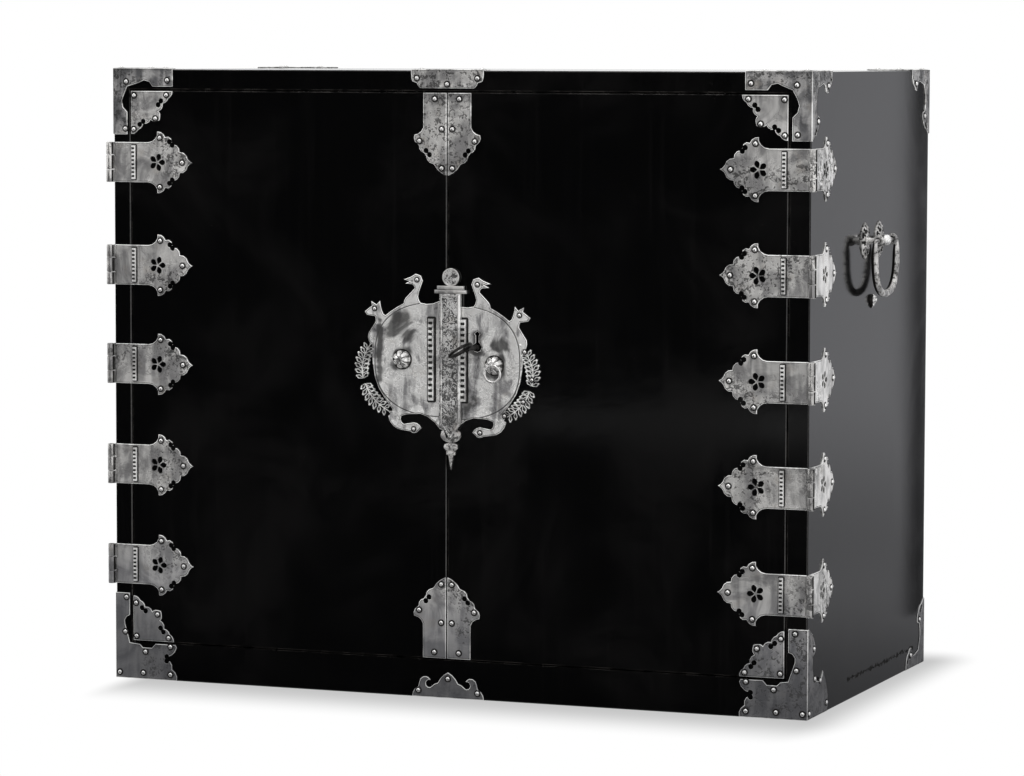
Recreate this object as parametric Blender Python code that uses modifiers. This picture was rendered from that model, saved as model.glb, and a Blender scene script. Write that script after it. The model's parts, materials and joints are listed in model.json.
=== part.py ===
"""Two-door lacquer cabinet with pierced white-metal mounts, a centre lock and side bail handles.

Metres, +Z up, the front towards -Y. The origin is the middle of the case's underside.
"""

import cmath
import math

import bmesh
import bpy
from mathutils import Matrix, Vector

# Case boards
CASE_WIDTH = 0.747
CASE_DEPTH = 0.420
CASE_HEIGHT = 0.630
TOP_BOARD = 0.0205
BOTTOM_BOARD = 0.021
LEFT_WALL = 0.018
RIGHT_WALL = 0.0215
BACK_BOARD = 0.012
BACK_INSET = 0.003
RAIL_HEIGHT = 0.0175
RAIL_DEPTH = 0.030
SHELF_BOARD = 0.012
SHELF_LEVEL = 0.322
SHELF_SETBACK = 0.030
EDGE_CHAMFER = 0.0010

# Clearances
FIT = 0.0003
DOOR_GAP = 0.0012
SEAM_GAP = 0.0014
LOCK_PLAY = 0.0006
OVERRUN = 0.004

# Doors: the meeting line lies a little left of the middle
DOOR_THICKNESS = 0.020
SEAM_SHIFT = 0.0042

# Hinges: two leaves on a barrel outside each front corner
HINGE_PLACE_SHARES = {
    "left": (0.0, 0.25, 0.50, 0.745, 0.9985),
    "right": (0.006, 0.2575, 0.505, 0.753, 1.0),
}
FOOT_HINGE_CLEARANCE = 0.0102
TOP_HINGE_CLEARANCE = 0.0070
LEAF_THICKNESS = 0.0012
STRAP_HALF = 0.0205
HEAD_LENGTH = 0.0395
HEAD_HALF = 0.0315
DOOR_HORN_REACH = 0.031
SIDE_HORN_REACH = 0.046
BARREL_RADIUS = 0.0036
AXIS_OFFSET = 0.0037
KNUCKLE_LENGTH = 0.0145
KNUCKLE_GAP = 0.0004
PIN_RADIUS = 0.0014
PIN_PLAY = 0.0004
BARREL_SIDES = 10
LEAF_SETBACK = 0.0006
RIB_WIDTH = 0.0045
RIB_LENGTH = 0.034
RIB_HEIGHT = 0.0024
RIB_REACH = 0.0048
HEAD_SHARES = (
    (1.00, 0.00, 0.0),
    (0.87, 0.13, -0.15),
    (0.64, 0.34, 0.40),
    (0.46, 0.59, 0.45),
    (0.42, 0.67, 0.0),
    (0.23, 0.82, 0.60),
    (0.00, 1.00, 0.35),
    (0.00, 0.88, 0.0),
    (-0.26, 0.65, -0.30),
)

# Pierced flower in each leaf: petals as kites around its middle
FLOWER_RADIUS = 0.0098
PETAL_COUNT = 5
PETAL_SHARES = ((0.18, 0.0), (0.70, -0.44), (1.00, -0.16), (1.00, 0.16), (0.70, 0.44))

# Corner mounts of the case
MOUNT_THICKNESS = 0.0010
MOUNT_MARGIN = 0.0025
TOP_MOUNT_REACH = 0.067
FOOT_MOUNT_REACH = 0.069
FOOT_MOUNT_RISE = 0.089
TOP_RAIL_SHARES = (
    (1.00, 0.00, 0.0),
    (1.00, 1.00, 0.0),
    (0.66, 1.00, 0.0),
    (0.43, 0.78, -0.55),
)
FOOT_RAIL_SHARES = (
    (1.00, 0.00, 0.0),
    (0.92, 0.31, 0.35),
    (0.84, 0.57, 0.45),
    (0.86, 0.66, -0.50),
    (1.00, 0.93, 0.30),
    (0.98, 1.00, 0.0),
    (0.65, 1.00, 0.0),
    (0.59, 0.88, 0.0),
    (0.44, 0.88, 0.0),
    (0.39, 0.97, 0.0),
)
TOP_STILE_SHARES = ((0.76, 0.39, 0.0), (1.00, 0.66, -0.45), (1.00, 1.00, 0.0), (0.00, 1.00, 0.0))
FOOT_STILE_SHARES = ((0.65, 0.63, 0.0), (1.00, 0.74, -0.50), (1.00, 1.00, 0.0), (0.00, 1.00, 0.0))
SIDE_WING_SHARES = (
    (1.00, 0.00, 0.0),
    (0.98, 0.13, 0.10),
    (0.86, 0.25, 0.30),
    (0.68, 0.29, 0.50),
    (0.52, 0.18, -0.45),
    (0.31, 0.23, 0.0),
    (0.24, 0.38, 0.0),
    (0.26, 0.63, -0.25),
    (0.38, 0.66, 0.0),
    (0.33, 0.82, 0.35),
    (0.16, 0.93, 0.25),
    (0.05, 1.00, 0.0),
    (0.00, 1.00, 0.0),
)

FOOT_WING_SHARES = (
    (0.97, 0.00, 0.0),
    (1.00, 0.10, 0.05),
    (0.92, 0.32, 0.12),
    (0.73, 0.475, 0.12),
    (0.66, 0.40, -0.15),
    (0.30, 0.45, -0.30),
    (0.25, 0.56, -0.10),
    (0.26, 0.67, 0.0),
    (0.37, 0.71, 0.0),
    (0.34, 0.84, 0.20),
    (0.16, 0.95, 0.20),
    (0.05, 1.00, 0.0),
    (0.00, 1.00, 0.0),
)

# Corner mounts of the doors: half of an outline that is even about its diagonal
TOP_DOOR_MOUNT_WIDTH = 0.0470
TOP_DOOR_MOUNT_HEIGHT = 0.0440
FOOT_DOOR_MOUNT_WIDTH = 0.0460
FOOT_DOOR_MOUNT_HEIGHT = 0.0465
DOOR_MOUNT_MARGIN = 0.0006
DOOR_MOUNT_SHARES = (
    (1.00, 0.00, 0.0),
    (0.90, 0.17, 0.30),
    (0.76, 0.29, 0.30),
    (0.66, 0.47, 0.40),
    (0.70, 0.54, 0.20),
    (0.68, 0.68, 0.10),
)

# Centre mounts of the doors: one half each, the other door carries its mirror
CENTRE_HALF_WIDTH = 0.0250
CENTRE_HORN_WIDTH = 0.0345
CENTRE_LENGTH = 0.082
CENTRE_SHARES = (
    (0.725, 0.00, 0.0),
    (0.725, 0.42, 0.0),
    (1.00, 0.51, -0.30),
    (0.91, 0.62, 0.40),
    (0.86, 0.64, 0.0),
    (0.70, 0.73, 0.40),
    (0.63, 0.77, 0.0),
    (0.43, 0.86, 0.40),
    (0.39, 0.87, 0.0),
    (0.02, 1.00, 0.20),
)

# Centre mounts of the case: half outlines, even about their middle
RAIL_MOUNT_HALF = 0.0388
RAIL_WING_DEPTH = 0.018
TOP_CENTRE_SHARES = ((1.00, 0.0, 0.0), (0.97, 0.62, 0.10), (0.84, 0.72, 0.0), (0.74, 1.0, 0.20))
FOOT_CENTRE_HEIGHT = 0.026
FOOT_CENTRE_SHIFT = 0.0015
FOOT_CENTRE_SHARES = (
    (1.00, 0.00, 0.0),
    (0.83, 0.40, 0.30),
    (0.80, 0.58, 0.0),
    (0.60, 0.80, 0.45),
    (0.49, 0.67, 0.20),
    (0.62, 0.55, -0.45),
    (0.50, 0.38, -0.55),
    (0.38, 0.52, 0.0),
    (0.28, 0.58, 0.0),
    (0.00, 1.00, 0.18),
)

# Lock plates: heads, leaf garlands and tails round an oval, as shares of the lock's span
LOCK_SPAN = 0.100
LOCK_LEVEL_SHARE = 0.54338
RIGHT_PLATE_DROP = 0.0025
PLATE_THICKNESS = 0.0010
LOCK_PLATE_SHARES = (
    (0.01, 0.58, 0.0),
    (0.08, 0.585, 0.0),
    (0.28, 0.565, 0.20),
    (0.30, 0.665, 0.30),
    (0.255, 0.785, 0.0),
    (0.38, 0.825, -0.75),
    (0.46, 0.795, 0.0),
    (0.395, 0.78, 0.0),
    (0.445, 0.755, 0.0),
    (0.37, 0.75, 0.0),
    (0.34, 0.71, 0.25),
    (0.44, 0.61, 0.0),
    (0.46, 0.555, -0.12),
    (0.66, 0.43, -0.06),
    (0.685, 0.445, 0.0),
    (0.72, 0.575, 0.10),
    (0.755, 0.535, 0.0),
    (0.815, 0.57, 0.0),
    (0.805, 0.525, 0.0),
    (0.885, 0.465, 0.0),
    (0.86, 0.43, 0.0),
    (0.775, 0.42, 0.0),
    (0.765, 0.365, 0.15),
    (0.845, 0.245, 0.0),
    (0.82, 0.135, -0.25),
    (0.90, 0.13, 0.0),
    (0.965, 0.06, 0.0),
    (0.998, -0.05, -0.08),
    (0.94, -0.23, -0.10),
    (0.885, -0.25, 0.0),
    (0.92, -0.32, 0.0),
    (0.85, -0.445, -0.05),
    (0.75, -0.54, -0.08),
    (0.635, -0.55, -0.10),
    (0.605, -0.645, -0.12),
    (0.475, -0.72, -0.25),
    (0.39, -0.73, 0.0),
    (0.32, -0.74, -0.30),
    (0.27, -0.695, 0.0),
    (0.35, -0.64, -0.30),
    (0.46, -0.66, 0.0),
    (0.49, -0.58, 0.45),
    (0.37, -0.555, 0.10),
    (0.28, -0.55, 0.0),
    (0.07, -0.695, 0.20),
    (0.01, -0.71, 0.0),
)
GARLAND_GAP_SHARES = (
    (0.795, -0.07, 0.0),
    (0.775, -0.19, 0.0),
    (0.735, -0.30, 0.0),
    (0.68, -0.385, 0.0),
    (0.70, -0.41, 0.0),
    (0.76, -0.34, 0.0),
    (0.82, -0.27, 0.0),
    (0.85, -0.21, 0.0),
    (0.83, -0.07, 0.0),
)
STAFF_HALF_SHARE = 0.113
LEFT_RIB_CLEARANCE = 0.0057
RIGHT_RIB_CLEARANCE = 0.0005
LOCK_RIB_WIDTH = 0.006
LOCK_RIB_LENGTH = 0.082
LOCK_RIB_HEIGHT = 0.0035

# Bosses on the plates, the right one with the eye of a ring pull
LEFT_BOSS_REACH = 0.0490
RIGHT_BOSS_REACH = 0.0530
LEFT_BOSS_RISE = 0.0010
RIGHT_BOSS_RISE = -0.0035
BOSS_RADIUS = 0.0100
BOSS_HEIGHT = 0.0090
BOSS_SIDES = 12
BOSS_SHARES = ((0.0, 1.0), (0.45, 0.90), (0.83, 0.56), (1.0, 0.0))
RING_RADIUS = 0.0083
RING_WIRE = 0.0012
RING_PLAY = 0.0007
RING_EYE_RADIUS = 0.0032
RING_EYE_LENGTH = 0.0030
RING_STANDOFF = 0.0115

# Staff that covers the meeting line, with its ball, bars and pendant
STAFF_DEPTH = 0.0065
STAFF_SHIFT = 0.0007
STAFF_SHARES = (
    (0.00, 0.915, 0.0),
    (0.055, 0.742, -0.78),
    (0.152, 0.742, 0.0),
    (0.152, 0.706, 0.0),
    (0.182, 0.700, 0.0),
    (0.182, 0.668, 0.0),
    (STAFF_HALF_SHARE, 0.664, 0.0),
    (STAFF_HALF_SHARE, -0.62, 0.0),
    (0.060, -0.690, 0.0),
    (0.110, -0.755, -0.45),
    (0.045, -0.826, -0.45),
    (0.075, -0.872, -0.60),
    (0.040, -0.916, -0.60),
    (0.050, -0.950, 0.0),
    (0.026, -0.962, 0.0),
    (0.000, -1.105, 0.0),
)

# Lock works let into the right door from behind
KEY_REACH = 0.0327
KEY_RISE = 0.0135
LOCK_CASE_WIDTH = 0.048
LOCK_CASE_HEIGHT = 0.044
LOCK_CASE_DEPTH = 0.0120
LOCK_CASE_WALL = 0.0015
LOCK_CASE_SHARE = 0.44
LOCK_CASE_DROP_SHARE = 0.42
BOLT_THICKNESS = 0.005
BOLT_HEIGHT = 0.012
BOLT_TAIL = 0.014
BOLT_CLEARANCE = 0.0042
NOTCH_HALF = 0.0031
NOTCH_DEPTH = 0.0052
MORTISE_DEPTH = 0.0150
KEY_TURN = math.radians(55)
KEY_STEM_RADIUS = 0.0023
KEY_BIT_REACH = 0.0080
KEY_BIT_THICKNESS = 0.0024
KEY_BOW_START = 0.034
KEY_BOW_HALF_LENGTH = 0.0150
KEY_BOW_HALF_WIDTH = 0.0115
KEY_BOW_WIRE = 0.0021
KEY_BOW_POINTS = 16
KEY_SIDES = 10
KEY_HOLE_RADIUS = 0.0046
KEY_SLOT_HALF = 0.0014
KEY_SLOT_RISE = 0.0120
KEY_SLOT_HEAD = 0.0027

# Side bail handles, hung in two eyes on rosettes
HANDLE_DROP = 0.170
EYE_SPACING = 0.050
EYE_STANDOFF = 0.0150
ROSETTE_RADIUS = 0.0183
ROSETTE_SIDES = 16
ROSETTE_SHARES = ((1.0, 0.0), (1.0, 0.35), (0.72, 0.80), (0.40, 0.88))
ROSETTE_HEIGHT = 0.0035
POST_RADIUS = 0.0032
EYE_RADIUS = 0.0046
EYE_LENGTH = 0.0062
EYE_PLAY = 0.0005
BAIL_HALF_WIDTH = 0.0390
BAIL_DROP = 0.0540
BAIL_RADIUS = 0.00375
BAIL_BAR_SHARE = 0.56
BAIL_BALL_RADIUS = 0.0043
BAIL_SHARES = (
    (0.00, 0.0, 0.0),
    (0.88, 0.0, 0.0),
    (0.98, -0.15, -0.25),
    (0.97, -0.60, -0.08),
    (0.52, -0.96, -0.30),
    (0.00, -1.00, -0.08),
)

# Outlines: chords in each round run
ARC_STEPS = 3

# Derived places
LEFT = -CASE_WIDTH / 2
RIGHT = CASE_WIDTH / 2
FRONT = -CASE_DEPTH / 2
REAR = CASE_DEPTH / 2
SEAM = -SEAM_SHIFT
LEFT_MEETING = SEAM - SEAM_GAP / 2
RIGHT_MEETING = SEAM + SEAM_GAP / 2
LEFT_OPENING = LEFT + LEFT_WALL
RIGHT_OPENING = RIGHT - RIGHT_WALL
SILL = BOTTOM_BOARD + RAIL_HEIGHT
HEAD = CASE_HEIGHT - TOP_BOARD
DOOR_BACK = FRONT + DOOR_THICKNESS
HINGE_LOW = FOOT_MOUNT_RISE + FOOT_HINGE_CLEARANCE + STRAP_HALF
HINGE_HIGH = CASE_HEIGHT - TOP_MOUNT_REACH - TOP_HINGE_CLEARANCE - STRAP_HALF
CENTRE_FOOT_END = SILL + DOOR_GAP + DOOR_MOUNT_MARGIN + CENTRE_LENGTH
CENTRE_TOP_END = HEAD - DOOR_GAP - DOOR_MOUNT_MARGIN - CENTRE_LENGTH
LOCK_LEVEL = CENTRE_FOOT_END + LOCK_LEVEL_SHARE * (CENTRE_TOP_END - CENTRE_FOOT_END)
HANDLE_LEVEL = CASE_HEIGHT - HANDLE_DROP
STAFF_HALF = STAFF_HALF_SHARE * LOCK_SPAN
LEFT_RIB_X = -STAFF_SHIFT - STAFF_HALF - LEFT_RIB_CLEARANCE - LOCK_RIB_WIDTH / 2
RIGHT_RIB_X = -STAFF_SHIFT + STAFF_HALF + RIGHT_RIB_CLEARANCE + LOCK_RIB_WIDTH / 2
MOUNT_FACE = FRONT - FIT
KEY_X = SEAM + KEY_REACH
KEY_Z = LOCK_LEVEL + KEY_RISE
BOLT_THROW = 2 * KEY_BIT_REACH * math.sin(KEY_TURN)
BOLT_LOW = KEY_Z + BOLT_CLEARANCE
BOLT_NOSE = RIGHT_MEETING + FIT
BOLT_BACK = DOOR_BACK - LOCK_CASE_WALL - FIT
BOLT_FRONT = BOLT_BACK - BOLT_THICKNESS


def material(name, colour, roughness, metallic):
    """A plain Principled finish."""
    made = bpy.data.materials.new(name)
    made.use_nodes = True
    shader = made.node_tree.nodes["Principled BSDF"]
    shader.inputs["Base Color"].default_value = (*colour, 1.0)
    shader.inputs["Roughness"].default_value = roughness
    shader.inputs["Metallic"].default_value = metallic
    return made


def new_object(name, mesh, finish, location=(0.0, 0.0, 0.0)):
    """A named piece in the cabinet's collection."""
    piece = bpy.data.objects.new(name, mesh)
    piece.location = location
    mesh.materials.clear()
    mesh.materials.append(finish)
    cabinet.objects.link(piece)
    return piece


def helper(name, mesh, location=(0.0, 0.0, 0.0)):
    """A hidden solid that cuts or joins another piece."""
    guide = bpy.data.objects.new(name, mesh)
    guide.location = location
    guide.display_type = "WIRE"
    guide.hide_render = True
    cutters.objects.link(guide)
    return guide


def combine(piece, guide, operation):
    """Cut the piece with a helper solid, or join the helper to it."""
    step = piece.modifiers.new(guide.name, "BOOLEAN")
    step.operation = operation
    step.object = guide


def box_mesh(name, size):
    """A box about its own middle."""
    mesh = bpy.data.meshes.new(name)
    solid = bmesh.new()
    bmesh.ops.create_cube(solid, size=1.0)
    bmesh.ops.scale(solid, vec=size, verts=solid.verts)
    solid.to_mesh(mesh)
    solid.free()
    return mesh


def span_box(name, low, high, maker=helper, **options):
    """A box between two corners, made by the given maker."""
    size = Vector(high) - Vector(low)
    middle = (Vector(high) + Vector(low)) / 2
    if maker is helper:
        return helper(name, box_mesh(name, size), middle)
    return new_object(name, box_mesh(name, size), options["finish"], middle)


def board(name, low, high):
    """A lacquered board with its edges eased."""
    piece = span_box(name, low, high, new_object, finish=lacquer)
    ease = piece.modifiers.new("eased_edges", "BEVEL")
    ease.width = EDGE_CHAMFER
    ease.segments = 1
    return piece


def rod_mesh(name, radius, length, sides, axis="Z"):
    """A cylinder about its own middle, along X, Y or Z."""
    turn = {"X": Matrix.Rotation(math.pi / 2, 4, "Y"), "Y": Matrix.Rotation(math.pi / 2, 4, "X")}
    mesh = bpy.data.meshes.new(name)
    solid = bmesh.new()
    bmesh.ops.create_cone(
        solid, cap_ends=True, segments=sides, radius1=radius, radius2=radius, depth=length
    )
    solid.transform(turn.get(axis, Matrix.Identity(4)))
    solid.to_mesh(mesh)
    solid.free()
    return mesh


def turned_mesh(name, profile, sides):
    """A closed turned solid about Z, from a profile that starts and ends on the axis."""
    mesh = bpy.data.meshes.new(name)
    solid = bmesh.new()
    knots = [solid.verts.new((radius, 0.0, height)) for radius, height in profile]
    edges = [solid.edges.new(pair) for pair in zip(knots, knots[1:])]
    bmesh.ops.spin(
        solid, geom=knots + edges, axis=(0, 0, 1), cent=(0, 0, 0), angle=2 * math.pi, steps=sides
    )
    bmesh.ops.remove_doubles(solid, verts=solid.verts, dist=FIT / 100)
    bmesh.ops.recalc_face_normals(solid, faces=solid.faces)
    solid.to_mesh(mesh)
    solid.free()
    return mesh


def tube_mesh(name, points, radii, depth):
    """A closed loop of round rod through the points, its radius a share of depth at each."""
    curve = bpy.data.curves.new(name, "CURVE")
    curve.dimensions = "3D"
    curve.bevel_depth = depth
    curve.bevel_resolution = 2
    spline = curve.splines.new("POLY")
    spline.points.add(len(points) - 1)
    for knot, point, radius in zip(spline.points, points, radii):
        knot.co = (*point, 1.0)
        knot.radius = radius
    spline.use_cyclic_u = True
    guide = bpy.data.objects.new(name, curve)
    mesh = bpy.data.meshes.new_from_object(guide)
    bpy.data.objects.remove(guide)
    bpy.data.curves.remove(curve)
    solid = bmesh.new()
    solid.from_mesh(mesh)
    bmesh.ops.remove_doubles(solid, verts=solid.verts, dist=FIT / 100)
    bmesh.ops.recalc_face_normals(solid, faces=solid.faces)
    solid.to_mesh(mesh)
    solid.free()
    return mesh


def sized(shares, width, height):
    """An outline's rows in metres, from its shares of a width and a height."""
    return [(across * width, up * height, bulge) for across, up, bulge in shares]


def run(start, end, bulge):
    """Points after start, up to end. The bulge is the arc's height over half its chord."""
    if bulge == 0:
        return [end]
    angle = 4 * math.atan(bulge)
    centre = (start + end) / 2 + 1j * (end - start) / (2 * math.tan(angle / 2))
    arm = start - centre
    return [centre + arm * cmath.rect(1, angle * step / ARC_STEPS) for step in range(1, ARC_STEPS + 1)]


def open_trace(rows):
    """Points along an open outline. Each row's bulge shapes the run that ends there."""
    corners = [complex(row[0], row[1]) for row in rows]
    points = [corners[0]]
    for start, end, row in zip(corners, corners[1:], rows[1:]):
        points += run(start, end, row[2])
    return points


def even_about_across(points):
    """Close a half outline with its mirror below the across axis."""
    return points + [p.conjugate() for p in reversed(points) if abs(p.imag) > FIT / 10]


def even_about_up(points):
    """Close a half outline with its mirror beyond the up axis."""
    return points + [-p.conjugate() for p in reversed(points) if abs(p.real) > FIT / 10]


def fill(outlines):
    """A flat surface inside the first outline and outside the others."""
    curve = bpy.data.curves.new("outline", "CURVE")
    curve.dimensions = "2D"
    curve.fill_mode = "BOTH"
    for points in outlines:
        spline = curve.splines.new("POLY")
        spline.points.add(len(points) - 1)
        for knot, point in zip(spline.points, points):
            knot.co = (point.real, point.imag, 0.0, 1.0)
        spline.use_cyclic_u = True
    guide = bpy.data.objects.new("outline", curve)
    surface = bpy.data.meshes.new_from_object(guide)
    bpy.data.objects.remove(guide)
    bpy.data.curves.remove(curve)
    return surface


def sheet_mesh(name, wings):
    """One surface of flat wings that share their folds. A wing is outlines, origin and three axes."""
    surface = bmesh.new()
    for outlines, origin, across, up, outward in wings:
        flat = fill(outlines)
        place = Matrix((across, up, outward)).transposed().to_4x4()
        place.translation = origin
        flat.transform(place)
        before = len(surface.faces)
        surface.from_mesh(flat)
        bpy.data.meshes.remove(flat)
        surface.faces.ensure_lookup_table()
        surface.normal_update()
        for face in surface.faces[before:]:
            if face.normal.dot(Vector(outward)) < 0:
                face.normal_flip()
    bmesh.ops.remove_doubles(surface, verts=surface.verts, dist=FIT / 30)
    mesh = bpy.data.meshes.new(name)
    surface.to_mesh(mesh)
    surface.free()
    return mesh


def plate(name, wings, thickness, finish, location=(0.0, 0.0, 0.0)):
    """A metal sheet of one thickness, outwards from its wings."""
    piece = new_object(name, sheet_mesh(name, wings), finish, location)
    wall = piece.modifiers.new("thickness", "SOLIDIFY")
    wall.thickness = thickness
    wall.offset = 1.0
    wall.use_even_offset = True
    return piece


def finished_mesh(piece):
    """The piece's mesh with its modifiers worked out, for copies to share."""
    bpy.context.view_layer.update()
    depsgraph = bpy.context.evaluated_depsgraph_get()
    return bpy.data.meshes.new_from_object(piece.evaluated_get(depsgraph))


def hang(piece, pivot):
    """Parent a piece to the empty on its joint's axis, without moving it."""
    bpy.context.view_layer.update()
    piece.parent = pivot
    piece.matrix_parent_inverse = pivot.matrix_world.inverted()


def pivot_empty(name, place):
    """An empty on a joint's axis."""
    pivot = bpy.data.objects.new(name, None)
    pivot.location = place
    cabinet.objects.link(pivot)
    bpy.context.view_layer.update()
    return pivot


def build_case():
    """Boards of the case: full-size top and bottom, sides between them, back, sill rail and shelf."""
    wall_low = BOTTOM_BOARD + FIT
    wall_high = HEAD - FIT
    board("top_board", (LEFT, FRONT, HEAD), (RIGHT, REAR, CASE_HEIGHT))
    board("bottom_board", (LEFT, FRONT, 0.0), (RIGHT, REAR, BOTTOM_BOARD))
    board("side_left", (LEFT, FRONT, wall_low), (LEFT_OPENING, REAR, wall_high))
    board("side_right", (RIGHT_OPENING, FRONT, wall_low), (RIGHT, REAR, wall_high))
    back_face = REAR - BACK_INSET
    board(
        "back_board",
        (LEFT_OPENING + FIT, back_face - BACK_BOARD, wall_low),
        (RIGHT_OPENING - FIT, back_face, wall_high),
    )
    board("sill_rail", (LEFT_OPENING + FIT, FRONT, wall_low), (RIGHT_OPENING - FIT, FRONT + RAIL_DEPTH, SILL))
    board(
        "shelf",
        (LEFT_OPENING + FIT, DOOR_BACK + SHELF_SETBACK, SHELF_LEVEL),
        (RIGHT_OPENING - FIT, back_face - BACK_BOARD - FIT, SHELF_LEVEL + SHELF_BOARD),
    )


def build_doors():
    """Two doors flush with the case's front, the left one with the bolt's mortise."""
    low = SILL + DOOR_GAP
    high = HEAD - DOOR_GAP
    left = board("door_left", (LEFT_OPENING + DOOR_GAP, FRONT, low), (LEFT_MEETING, DOOR_BACK, high))
    right = board("door_right", (RIGHT_MEETING, FRONT, low), (RIGHT_OPENING - DOOR_GAP, DOOR_BACK, high))
    bolt_low = (BOLT_FRONT - LOCK_PLAY, BOLT_LOW - LOCK_PLAY)
    bolt_high = (BOLT_BACK + LOCK_PLAY, BOLT_LOW + BOLT_HEIGHT + LOCK_PLAY)
    mortise = span_box(
        "mortise",
        (LEFT_MEETING - MORTISE_DEPTH, *bolt_low),
        (LEFT_MEETING + OVERRUN, *bolt_high),
    )
    combine(left, mortise, "DIFFERENCE")
    case_low, case_high = lock_case_corners()
    pocket = span_box(
        "lock_pocket",
        (case_low[0] - FIT, case_low[1] - FIT, case_low[2] - FIT),
        (case_high[0] + FIT, DOOR_BACK + OVERRUN, case_high[2] + FIT),
    )
    combine(right, pocket, "DIFFERENCE")
    channel = span_box(
        "bolt_channel",
        (RIGHT_MEETING - OVERRUN, *bolt_low),
        (case_low[0] + LOCK_CASE_WALL, *bolt_high),
    )
    combine(right, channel, "DIFFERENCE")
    keyway = span_box(
        "keyway",
        (KEY_X - KEY_HOLE_RADIUS, FRONT - OVERRUN, KEY_Z - KEY_HOLE_RADIUS),
        (KEY_X + KEY_HOLE_RADIUS, case_low[1], KEY_Z + KEY_SLOT_RISE + KEY_SLOT_HEAD),
    )
    combine(right, keyway, "DIFFERENCE")
    return left, right


def lock_case_corners():
    """Lowest and highest corners of the lock's case in the right door."""
    low_x = KEY_X - LOCK_CASE_SHARE * LOCK_CASE_WIDTH
    low_z = KEY_Z - LOCK_CASE_DROP_SHARE * LOCK_CASE_HEIGHT
    low = (low_x, DOOR_BACK - LOCK_CASE_DEPTH, low_z)
    high = (low_x + LOCK_CASE_WIDTH, DOOR_BACK, low_z + LOCK_CASE_HEIGHT)
    return low, high


def petals(centre):
    """Outlines of a pierced flower's petals, one of them towards the leaf's tip."""
    holes = []
    for index in range(PETAL_COUNT):
        heading = 2 * math.pi * index / PETAL_COUNT
        holes.append(
            [centre + cmath.rect(FLOWER_RADIUS * reach, heading + turn) for reach, turn in PETAL_SHARES]
        )
    return holes


def leaf_outlines(horn_reach, on_door):
    """Outlines of a hinge leaf: its scalloped head, strap, knuckle tabs and flower."""
    rows = [(horn_reach + a, b, bulge) for a, b, bulge in sized(HEAD_SHARES, HEAD_LENGTH, HEAD_HALF)]
    middle = KNUCKLE_LENGTH / 2
    if on_door:
        rows += [
            (LEAF_SETBACK, STRAP_HALF, 0.0),
            (LEAF_SETBACK, middle, 0.0),
            (-AXIS_OFFSET, middle, 0.0),
        ]
    else:
        rows += [
            (-AXIS_OFFSET, STRAP_HALF, 0.0),
            (-AXIS_OFFSET, middle + KNUCKLE_GAP, 0.0),
            (LEAF_SETBACK, middle + KNUCKLE_GAP, 0.0),
        ]
    return [even_about_across(open_trace(rows))] + petals(complex(horn_reach, 0.0))


def door_leaf_mesh(side, wall):
    """A door leaf about its hinge axis: side is -1 on the left and 1 on the right."""
    origin = (-side * AXIS_OFFSET, AXIS_OFFSET - FIT, 0.0)
    wing = (leaf_outlines(wall + DOOR_HORN_REACH, True), origin, (-side, 0, 0), (0, 0, 1), (0, -1, 0))
    leaf = plate("door_leaf", [wing], LEAF_THICKNESS, silver)
    knuckle = helper("knuckle", rod_mesh("knuckle", BARREL_RADIUS, KNUCKLE_LENGTH, BARREL_SIDES))
    bore = helper("bore", rod_mesh("bore", PIN_RADIUS + PIN_PLAY, 2 * STRAP_HALF, BARREL_SIDES))
    rib_middle = -side * (AXIS_OFFSET + wall + RIB_REACH)
    rib_face = AXIS_OFFSET - FIT - LEAF_THICKNESS / 2
    rib = span_box(
        "rib",
        (rib_middle - RIB_WIDTH / 2, rib_face - LEAF_THICKNESS / 2 - RIB_HEIGHT, -RIB_LENGTH / 2),
        (rib_middle + RIB_WIDTH / 2, rib_face, RIB_LENGTH / 2),
    )
    for guide, operation in ((knuckle, "UNION"), (rib, "UNION"), (bore, "DIFFERENCE")):
        combine(leaf, guide, operation)
    mesh = finished_mesh(leaf)
    for spare in (leaf, knuckle, bore, rib):
        bpy.data.objects.remove(spare)
    return mesh


def side_leaf_mesh(side):
    """A case leaf about its hinge axis, with the end knuckles and the pin."""
    origin = (-side * (AXIS_OFFSET - FIT), AXIS_OFFSET, 0.0)
    wing = (leaf_outlines(SIDE_HORN_REACH, False), origin, (0, 1, 0), (0, 0, 1), (side, 0, 0))
    leaf = plate("side_leaf", [wing], LEAF_THICKNESS, silver)
    end_length = STRAP_HALF - KNUCKLE_LENGTH / 2 - KNUCKLE_GAP
    end_middle = STRAP_HALF - end_length / 2
    knuckle = rod_mesh("end_knuckle", BARREL_RADIUS, end_length, BARREL_SIDES)
    upper = helper("upper_knuckle", knuckle, (0, 0, end_middle))
    lower = helper("lower_knuckle", knuckle, (0, 0, -end_middle))
    pin_length = 2 * STRAP_HALF - 2 * KNUCKLE_GAP
    pin = helper("pin", rod_mesh("pin", PIN_RADIUS, pin_length, BARREL_SIDES))
    for guide in (upper, lower, pin):
        combine(leaf, guide, "UNION")
    mesh = finished_mesh(leaf)
    for spare in (leaf, upper, lower, pin):
        bpy.data.objects.remove(spare)
    return mesh


def build_hinges(pivots):
    """Five hinges a side. Each door leaf hangs on its door's pivot."""
    for word, side, wall in (("left", -1, LEFT_WALL), ("right", 1, RIGHT_WALL)):
        door_mesh = door_leaf_mesh(side, wall)
        side_mesh = side_leaf_mesh(side)
        axis_x = side * (RIGHT + AXIS_OFFSET)
        for number, share in enumerate(HINGE_PLACE_SHARES[word], 1):
            height = HINGE_LOW + share * (HINGE_HIGH - HINGE_LOW)
            place = (axis_x, FRONT - AXIS_OFFSET, height)
            leaf = new_object(f"door_leaf_{word}_{number}", door_mesh, silver, place)
            hang(leaf, pivots[word])
            new_object(f"side_leaf_{word}_{number}", side_mesh, silver, place)


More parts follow.
